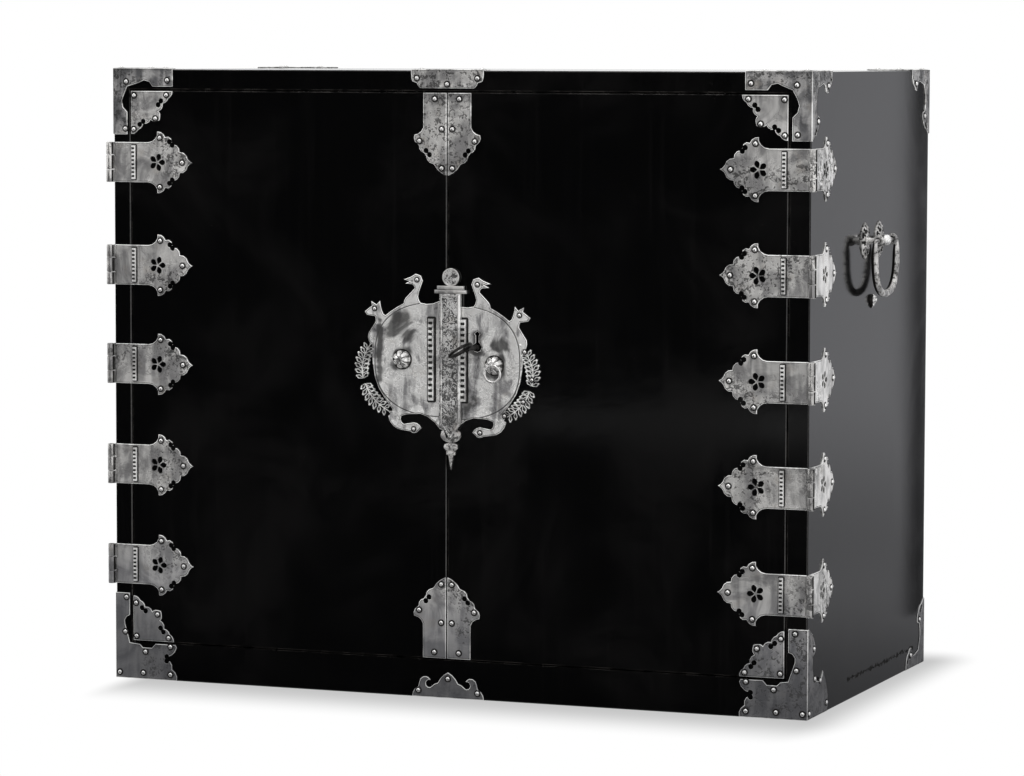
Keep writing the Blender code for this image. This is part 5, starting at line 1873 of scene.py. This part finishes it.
@dataclass
class Staff:
    """The bar over the meeting line: engraved panel, disc, two bars and a turned pendant."""

    finishes: Finishes
    middle: float = 0.0006
    level: float = 0.3415
    back: float = -0.2116
    depth: float = 0.0042
    thin: float = 0.0018
    half: float = 0.0110
    bevel: float = 0.0013
    head: float = 0.0664
    shoulder: float = -0.0640
    point: float = -0.0785
    border: float = 0.0010
    recess: float = 0.0004
    disc_level: float = 0.0829
    disc_radius: float = 0.0090
    bars: tuple = ((0.0724, 0.0145, 0.0019), (0.0684, 0.0173, 0.0018))
    bar_proud: float = 0.0010
    lobes: tuple = ((-0.0755, 0.0112, 0.0074, 0.0036), (-0.0872, 0.0077, 0.0046, 0.0030))
    ring: tuple = (-0.0934, 0.0050, 0.0020)
    cone: tuple = (-0.0952, -0.1105, 0.0030)

    def panel(self) -> bpy.types.Object:
        """Model the shaft with its pointed foot and its sunk panel.

        Returns:
            The shaft. Its panel has the second finish.
        """
        size = (2 * self.half, self.depth, self.head - self.shoulder)
        place = (self.middle, self.back - self.depth / 2, self.level + (self.head + self.shoulder) / 2)
        shaft = Bench.primitive(bpy.ops.mesh.primitive_cube_add, size, size=1.0, location=place)
        with Bench.editing(shaft):
            Bench.pick(shaft, "faces", lambda face: face.normal.z < -0.9)
            Bench.extrude(0, 0, self.point - self.shoulder)
            bpy.ops.transform.resize(value=(0.02, 1.0, 1.0))
            Bench.pick(shaft, "faces", lambda face: face.normal.y < -0.9)
            bpy.ops.mesh.inset(thickness=self.bevel, depth=self.bevel * 0.6)
            bpy.ops.mesh.inset(thickness=self.border)
            bpy.ops.mesh.inset(thickness=self.recess, depth=-self.recess)
        sunk = self.back - self.depth - self.bevel * 0.6 + self.recess
        Bench.paint(shaft, 2, lambda face: abs(face.center.y - sunk) < self.recess / 8)
        # Faces turned to the right get the bright rim finish: a painted highlight.
        Bench.paint(shaft, 3, lambda face: face.normal.x > 0.3)
        return shaft

    def disc(self) -> bpy.types.Object:
        """Model the disc at the head with its rim and its engraved middle.

        Returns:
            The disc. Its middle has the third finish.
        """
        middle = Vector((self.middle, self.back - self.thin / 2, self.level + self.disc_level))
        disc = Bench.primitive(
            bpy.ops.mesh.primitive_cylinder_add,
            vertices=32,
            radius=self.disc_radius,
            depth=self.thin,
            location=middle,
            rotation=(math.pi / 2, 0, 0),
        )
        with Bench.editing(disc):
            Bench.pick(disc, "faces", lambda face: face.normal.y < -0.9)
            bpy.ops.mesh.inset(thickness=self.recess, depth=self.recess)
            bpy.ops.mesh.inset(thickness=self.border * 0.55)
            bpy.ops.mesh.inset(thickness=self.recess, depth=-self.recess * 1.4)
        inner = self.disc_radius - self.border

        def engraved(face: Any) -> bool:
            """Whether a face lies in the disc's engraved middle."""
            away = face.center - middle
            return face.normal.y < -0.9 and away.xz.length < inner / 2

        Bench.paint(disc, 2, engraved)
        return disc

    def crossbars(self) -> list[bpy.types.Object]:
        """Model the two bars under the disc, their edges eased.

        Returns:
            The bars.
        """
        bars = []
        deep = self.thin + self.bar_proud
        middle = self.back - deep / 2
        add = bpy.ops.mesh.primitive_cube_add
        for rise, half, thick in self.bars:
            place = (self.middle, middle, self.level + rise)
            bar = Bench.primitive(add, (2 * half, deep, 2 * thick), size=1.0, location=place)
            with Bench.editing(bar, "EDGE"):
                Bench.pick(bar, "edges", lambda edge: all(knot.co.y < middle for knot in edge.verts))
                bpy.ops.mesh.bevel(offset=thick * 0.45, segments=2, affect="EDGES")
            bars.append(bar)
        return bars

    def pendant(self) -> list[bpy.types.Object]:
        """Model two lobes, a ring and a faceted spike under the shaft.

        Returns:
            The pieces.
        """
        pieces = []
        for rise, half, tall, deep in self.lobes:
            place = (self.middle, self.back - self.recess, self.level + rise)
            add, size = bpy.ops.mesh.primitive_uv_sphere_add, (half, deep, tall)
            lobe = Bench.primitive(add, size, segments=28, ring_count=16, radius=1.0, location=place)
            with Bench.editing(lobe, "VERT"):
                Bench.pick(lobe, "verts", lambda knot: knot.co.z > place[2] + tall * 0.5)
                Bench.resize(1.12, 1.0, 0.92, place)
                bpy.ops.mesh.select_all(action="SELECT")
                cut = {"plane_co": (0, self.back, 0), "plane_no": (0, 1, 0)}
                bpy.ops.mesh.bisect(**cut, clear_outer=True, use_fill=True)
            pieces.append(lobe)
        rise, half, tall = self.ring
        place = (self.middle, self.back, self.level + rise)
        add, size = bpy.ops.mesh.primitive_cylinder_add, (half, half * 0.62, tall)
        ring = Bench.primitive(add, size, vertices=20, radius=1.0, depth=2.0, location=place)
        with Bench.editing(ring, "EDGE", True):
            bpy.ops.mesh.bevel(offset=tall * 0.4, segments=2, affect="EDGES")
        pieces.append(ring)
        top, foot, wide = self.cone
        spike = Bench.primitive(
            bpy.ops.mesh.primitive_cone_add,
            vertices=8,
            radius1=wide * 0.06,
            radius2=wide,
            depth=top - foot,
            location=(self.middle, self.back, self.level + (top + foot) / 2),
        )

        def runs_down(edge: Any) -> bool:
            """Whether an edge runs from the spike's top to its point."""
            return abs(Bench.run(edge).z) > wide

        with Bench.editing(spike, "EDGE"):
            Bench.pick(spike, "edges", runs_down)
            bpy.ops.mesh.subdivide(number_cuts=2)
            Bench.pick(spike, "edges", runs_down)
            bpy.ops.mesh.bevel(offset=wide * 0.08, segments=1, affect="EDGES")
        pieces.append(spike)
        return pieces

    def build(self) -> None:
        """Join the staff in the place of its node."""
        pieces = [self.panel(), self.disc(), *self.crossbars(), *self.pendant()]
        staff = Bench.join("staff", pieces)
        worked = (self.finishes.sheet, self.finishes.tarnish, self.finishes.engraved, self.finishes.rim)
        Bench.finish(staff, BODY_OF["lock_staff"], worked, angle=35.0)
        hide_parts("lock_staff")


@dataclass
class RingPull:
    """The drop ring in the right boss, thicker at its foot, and its eye."""

    finishes: Finishes
    axis: tuple = (0.0488, -0.2218, 0.3380)
    radius: float = 0.0083
    wire: float = 0.0012
    points: int = 36
    eye: float = 0.0023
    eye_wire: float = 0.0010

    def build(self) -> None:
        """Bend the ring and its eye."""
        axis = Vector(self.axis)
        path, radii = [], []
        for sine, cosine in round_turn(self.points):
            path.append(axis + Vector((self.radius * sine, 0, self.radius * (cosine - 1))))
            radii.append(self.wire * (0.92 + 0.22 * (1 - cosine) / 2))
        ring = Rod(path, radii, Vector((0, 1, 0)), 12).make("ring")
        Bench.finish(ring, BODY_OF["ring_pull"], (self.finishes.dome,), angle=60.0)
        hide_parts("ring_pull")
        path = [axis + Vector((0, sine, cosine)) * self.eye for sine, cosine in round_turn(16)]
        eye = Rod(path, [self.eye_wire] * 16, Side.RIGHT.outward, 8).make("ring_eye")
        Bench.finish(eye, BODY_OF["lock_plate_right"], (self.finishes.dome,), angle=60.0)


@dataclass
class Key:
    """The key in its hole: a turned stem with collars, an open bow and the bit."""

    finishes: Finishes
    x: float = 0.0285
    z: float = 0.3550
    tip: float = -0.1903
    stem_end: float = -0.2443
    stem: float = 0.0022
    tilt: float = math.radians(55)
    bow_middle: float = -0.2572
    bow_length: float = 0.0150
    bow_width: float = 0.0115
    bow_wire: float = 0.0020
    bit: tuple = (0.0024, 0.0050, 0.0080)
    bit_level: float = -0.1943
    collars: tuple = ((-0.2160, 0.0034), (-0.2400, 0.0032))

    def build(self) -> None:
        """Model the key in the place of its node."""
        axis = Vector((self.x, 0, self.z))
        upright = Vector((math.sin(self.tilt), 0, math.cos(self.tilt)))
        stations = [(self.tip, 0.8), (self.tip - 0.0006, 1.0)]
        for level, radius in self.collars:
            wide = radius / self.stem
            for ahead, share in ((0.0012, 1.0), (0.0008, wide), (-0.0008, wide), (-0.0012, 1.0)):
                stations.append((level + ahead, share))
        stations += [(self.stem_end, 1.0), (self.stem_end - 0.0012, 0.7)]
        path = [axis + Vector((0, y, 0)) for y, _ in stations]
        radii = [self.stem * share for _, share in stations]
        stem = Rod(path, radii, Side.RIGHT.outward, 16, False).make("stem")
        path, radii = [], []
        for sine, cosine in round_turn(32):
            ahead = Vector((0, self.bow_middle + self.bow_length * cosine, 0))
            path.append(axis + ahead + upright * self.bow_width * sine)
            radii.append(self.bow_wire * (0.85 + 0.15 * cosine))
        bow = Rod(path, radii, upright.cross(Vector((0, 1, 0))), 10).make("bow")
        add = bpy.ops.mesh.primitive_cube_add
        bit = Bench.primitive(add, self.bit, size=1.0, location=(0, 0, self.bit[2] / 2))
        bit.data.transform(Matrix.Rotation(self.tilt, 4, "Y"))
        bit.data.transform(Matrix.Translation((self.x, self.bit_level, self.z)))
        with Bench.editing(bit, "EDGE", True):
            bpy.ops.mesh.bevel(offset=self.bit[0] * 0.12, segments=1, affect="EDGES")
        key = Bench.join("key_piece", [stem, bow, bit])
        Bench.finish(key, BODY_OF["key"], (self.finishes.iron,), slot="iron", angle=50.0)
        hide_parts("key")


@dataclass
class Handles:
    """A bail, two leaf-shaped rosettes with eyes and a stud on each side."""

    finishes: Finishes
    wall: float = 0.3738
    axis: float = 0.3885
    level: float = 0.4600
    spacing: float = 0.0250
    rosette: float = 0.0183
    narrow: float = 0.86
    rosette_height: float = 0.0032
    rosette_sides: int = 32
    rosette_steps: tuple = ((0.35, 0.12), (0.30, -0.15), (0.75, 0.40), (0.55, -0.12), (0.45, 0.35))
    post: float = 0.0034
    knob: float = 0.0050
    knob_wire: float = 0.0019
    half_width: float = 0.0390
    drop: float = 0.0540
    rod: float = 0.00375
    bar_share: float = 0.56
    ball: float = 0.0058
    stud_level: float = 0.3995
    stud: tuple = (0.0046, 0.0056, 0.0062)

    def build(self) -> None:
        """Build both handles."""
        for side in Side:
            wing = Wing(side.outward * self.wall + UP * self.level, Vector((0, 1, 0)), UP, side.outward)
            for word, offset in (("front", -self.spacing), ("rear", self.spacing)):
                node = f"handle_eye_{word}_{side.word}"
                eye = self.eye(wing, offset)
                eye.name = f"rosette_{word}_{side.word}"
                Bench.finish(eye, BODY_OF[node], (self.finishes.sheet, *self.finishes.relief), angle=40.0)
                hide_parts(node)
            bail = self.bail(side)
            bail.name = f"bail_piece_{side.word}"
            # The half that faces the case is painted dark iron: painted shade where it faces the black side.
            Bench.paint(bail, 1, lambda face: face.normal.x * side.value < -0.25)
            worked = (self.finishes.sheet, self.finishes.iron, self.finishes.dome)
            Bench.finish(bail, BODY_OF[f"bail_{side.word}"], worked, angle=60.0)
            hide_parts(f"bail_{side.word}")
            stud = self.stud_piece(wing)
            stud.name = f"stud_{side.word}"
            # The sides that do not face outward are painted dark iron: painted shade on the stud.
            Bench.paint(stud, 1, lambda face: face.normal.x * side.value < 0.34)
            worked = (self.finishes.dome, self.finishes.iron)
            Bench.finish(stud, BODY_OF[f"side_{side.word}"], worked, angle=45.0)

    def eye(self, wing: Wing, offset: float) -> bpy.types.Object:
        """Model a rosette like a pointed leaf, its post and the eye for the bail.

        Args:
            wing: The case's side.
            offset: Where it stands along the side.

        Returns:
            The rosette with its eye.
        """
        sides, height = self.rosette_sides, self.rosette_height
        add = bpy.ops.mesh.primitive_circle_add
        leaf = Bench.primitive(add, vertices=sides, radius=self.rosette, fill_type="NGON")
        with Bench.editing(leaf, "VERT", True):
            bpy.ops.transform.resize(value=(self.narrow, 1.0, 1.0))
            Bench.pick(leaf, "verts", lambda knot: abs(knot.co.y) > self.rosette * 0.80)
            Bench.resize(0.72, 1.0, 1.0)
            Bench.pick(leaf, "verts", lambda knot: knot.index % 2 == 1)
            Bench.resize(0.93, 0.96, 1.0)
            bpy.ops.mesh.select_mode(type="FACE")
            bpy.ops.mesh.select_all(action="SELECT")
            Bench.extrude(0, 0, height * 0.35)
            for thick, deep in self.rosette_steps:
                bpy.ops.mesh.inset(thickness=height * thick, depth=height * deep)
        Bench.closed(leaf)
        flute = 2 * math.pi / sides

        def in_flute(face: Any) -> bool:
            """Whether a face lies in one of the dark stripes that run out from the post: painted shade for
            flutes that are not modelled.
            """
            share = face.center.xy.length / self.rosette
            turn = math.atan2(face.center.y, face.center.x)
            return 0.3 < share < 0.8 and math.floor(turn / flute) % 2 == 0

        # Dark radial stripes: painted shade standing in for flutes.
        Bench.paint(leaf, 2, in_flute)
        standoff = self.axis - self.wall
        stations = ((0.0, 1.5), (0.35, 1.05), (0.55, 0.9), (0.80, 1.0))
        path = [Vector((0, 0, standoff * share)) for share, _ in stations]
        radii = [self.post * share for _, share in stations]
        post = Rod(path, radii, Side.RIGHT.outward, 14, False).make("post")
        major = self.knob - self.knob_wire * 0.55
        ring = [Vector((0, cosine * major, standoff + sine * major)) for sine, cosine in round_turn(20)]
        eye = Rod(ring, [self.knob_wire] * 20, Side.RIGHT.outward, 10).make("eye")
        eye.data.transform(Matrix.Scale(1.5, 4, (1, 0, 0)))
        joined = Bench.join("rosette", [leaf, post, eye])
        joined.data.transform(wing.stand(offset, 0.0))
        return joined

    def bail(self, side: Side) -> bpy.types.Object:
        """Bend one bail: thin along its bar, swelling to the foot, with a ball between the eyes.

        Args:
            side: The cabinet's side.

        Returns:
            The bail.
        """
        x = side.value * self.axis
        wide, drop = self.half_width, self.drop
        bar = [(share * wide, 0.0) for share in (0.0, 0.2, 0.4, 0.6, 0.8, 0.9)]
        legs = [(0.965, -0.045), (0.995, -0.14), (1.0, -0.26), (0.985, -0.40), (0.95, -0.54), (0.88, -0.68)]
        legs += [(0.77, -0.80), (0.62, -0.89), (0.44, -0.955), (0.22, -0.99)]
        half = bar + [(a * wide, b * drop) for a, b in legs]
        whole = half + [(0.0, -drop)] + [(-y, z) for y, z in reversed(half[1:])]
        path = [Vector((x, y, self.level + z)) for y, z in whole]
        radii = []
        for _, z in whole:
            share = min(1.0, -z / (0.25 * drop))
            radii.append(self.rod * (self.bar_share + (1.0 - self.bar_share) * share))
        bail = Rod(path, radii, Side.RIGHT.outward, 12).make("bail")
        ball = Bench.primitive(
            bpy.ops.mesh.primitive_uv_sphere_add,
            (1.0, 1.15, 1.0),
            segments=20,
            ring_count=12,
            radius=self.ball,
            location=(x, 0.0, self.level),
        )
        Bench.paint(ball, 2, lambda face: True)
        return Bench.join("bail", [bail, ball])

    def stud_piece(self, wing: Wing) -> bpy.types.Object:
        """Model the stud that keeps the bail off the lacquer: a dome drawn to a point below.

        Args:
            wing: The case's side.

        Returns:
            The stud.
        """
        low = -self.stud[1] * 0.3
        add = bpy.ops.mesh.primitive_uv_sphere_add
        stud = Bench.primitive(add, self.stud, segments=24, ring_count=12, radius=1.0)
        with Bench.editing(stud, "VERT", True):
            bpy.ops.mesh.bisect(plane_co=(0, 0, 0), plane_no=(0, 0, 1), clear_inner=True)
            Bench.pick(stud, "verts", lambda knot: knot.co.y < low)
            Bench.resize(0.50, 1.55, 0.8)
        stud.data.transform(wing.stand(0.0, self.stud_level - self.level))
        return stud


@dataclass
class Studio:
    """Camera, floor and soft light."""

    camera_place: tuple = (1.5375, -4.008, 0.649)
    right: tuple = (0.93233, 0.36161, 0.00239)
    down: tuple = (0.03173, -0.07523, -0.99666)
    forward: tuple = (-0.36022, 0.92929, -0.08161)
    focal: float = 4110.6
    frame_width: float = 1024.0
    sensor: float = 36.0
    tint: tuple = (0.995, 1.0, 1.045, 1.0)
    # Painted floor shadow: its grey at the cabinet's edge, the footprint, and its reach to the left, right,
    # front and rear.
    contact: float = 0.565
    footprint: tuple = (0.3735, 0.2100)
    shadow: tuple = (0.040, 0.060, 0.150, 0.100)
    drop: float = 0.0004

    def camera(self) -> None:
        """Set the camera at the photograph's place."""
        lens = bpy.data.cameras.new("photograph")
        lens.sensor_width = self.sensor
        lens.lens = self.focal / self.frame_width * self.sensor
        lens.clip_start = 0.1
        lens.clip_end = 60.0
        holder = bpy.data.objects.new("photograph", lens)
        axes = (Vector(self.right), -Vector(self.down), -Vector(self.forward))
        placed = Matrix(axes).transposed().to_4x4()
        placed.translation = Vector(self.camera_place)
        holder.matrix_world = placed
        bpy.context.scene.collection.objects.link(holder)
        bpy.context.scene.camera = holder

    def card(self, name: str, place: tuple, target: tuple, size: tuple, light: float, *fades: tuple) -> None:
        """A card that only the polished surfaces see.

        Args:
            name: The card's name.
            place: Its middle.
            target: What it faces.
            size: Its width and height.
            light: How bright it is.
            fades: The axis of each fade, where it starts and ends, and its share of the light at both.
        """
        card = Bench.primitive(bpy.ops.mesh.primitive_plane_add, size=1.0)
        card.name = name
        aim = (Vector(target) - Vector(place)).to_track_quat("Z", "Y").to_matrix().to_4x4()
        card.data.transform(Matrix.Translation(place) @ aim @ Matrix.Diagonal((size[0], size[1], 1.0, 1.0)))
        graph = Graph(name)
        shine = light
        for axis, start, end, least, most in fades:
            shine = graph.axes("Object")[axis].step(start, end) * (most - least) * shine + shine * least
        graph.glow(color=self.tint, strength=shine)
        card.data.materials.append(graph.material)
        card.visible_camera = card.visible_diffuse = card.visible_shadow = False

    def floor(self) -> None:
        """A pale floor with a painted shadow round the cabinet's footprint."""
        floor = Bench.primitive(bpy.ops.mesh.primitive_plane_add, size=30.0, location=(0, 0, -self.drop))
        floor.name = "floor"
        graph = Graph("pale_floor")
        across, depth, _ = graph.axes("Object")
        half_width, half_depth = self.footprint
        left, right, front, rear = self.shadow
        past_right, past_left = across - half_width, across * -1.0 - half_width + left
        beside = past_right.most(0.0) / right + past_left.most(0.0) / left
        before = (depth * -1.0 - half_depth).most(0.0) / front + (depth - half_depth).most(0.0) / rear
        away = (beside * beside + before * before) ** 0.5
        shade = graph.blend(away.step(0.0, 1.0), (self.contact,) * 3, (1.0, 1.0, 1.0))
        graph.glow(color=shade)
        floor.data.materials.append(graph.material)

    def build(self) -> None:
        """Set the camera, the floor and the light."""
        self.camera()
        self.floor()
        world = bpy.data.worlds.new("pale_room")
        bpy.context.scene.world = world
        world.use_nodes = True
        background = world.node_tree.nodes["Background"]
        background.inputs["Color"].default_value = (1.0, 1.0, 1.0, 1.0)
        background.inputs["Strength"].default_value = 1.0
        bpy.context.scene.view_settings.view_transform = "Standard"
        low = (2, 0.0, 0.25, 0.58, 1.0)
        self.card("dark_front", (-1.15, -3.2, 0.5), (-0.2, 0.0, 0.5), (2.6, 1.7), 0.003)
        self.card("dark_carpet", (-0.9, -1.664, 0.0004), (-0.9, -1.664, 1.0), (2.9, 2.9), 0.003)
        self.card("grey_side", (0.90, 1.05, 0.52), (0.42, -0.2, 0.52), (0.86, 1.10), 0.52, low)
        back = (1, -0.2, 0.9, 0.43, 1.0)
        self.card("grey_carpet", (0.762, 0.55, 0.0005), (0.762, 0.55, 1.0), (0.78, 1.6), 0.30, back)
        back = (1, 0.48, 0.57, 1.0, 0.12)
        self.card("rear_shade", (0.4815, 0.545, 0.35), (0.0, 0.545, 0.35), (0.13, 0.80), 0.51, back, low)
        sun = bpy.data.lights.new("soft_key", "SUN")
        sun.energy = 0.6
        sun.angle = math.radians(30)
        holder = bpy.data.objects.new("soft_key", sun)
        holder.rotation_euler = Vector((0.05, 0.16, -1.0)).to_track_quat("-Z", "Y").to_euler()
        bpy.context.scene.collection.objects.link(holder)


def main() -> None:
    """Build the cabinet's sub-assemblies in order."""
    logging.basicConfig(level=logging.INFO, format="%(message)s")
    Studio().build()
    finishes = Finishes()
    for work in (CaseBoards, Coats, CaseMounts, DoorMounts, Hinges, Lock, Handles):
        work(finishes).build()
    for name in ("lock_case", "lock_bolt"):
        works = frame["nodes"][name].data
        works.materials.clear()
        works.materials.append(finishes.iron)


if __name__ == "__main__":
    main()
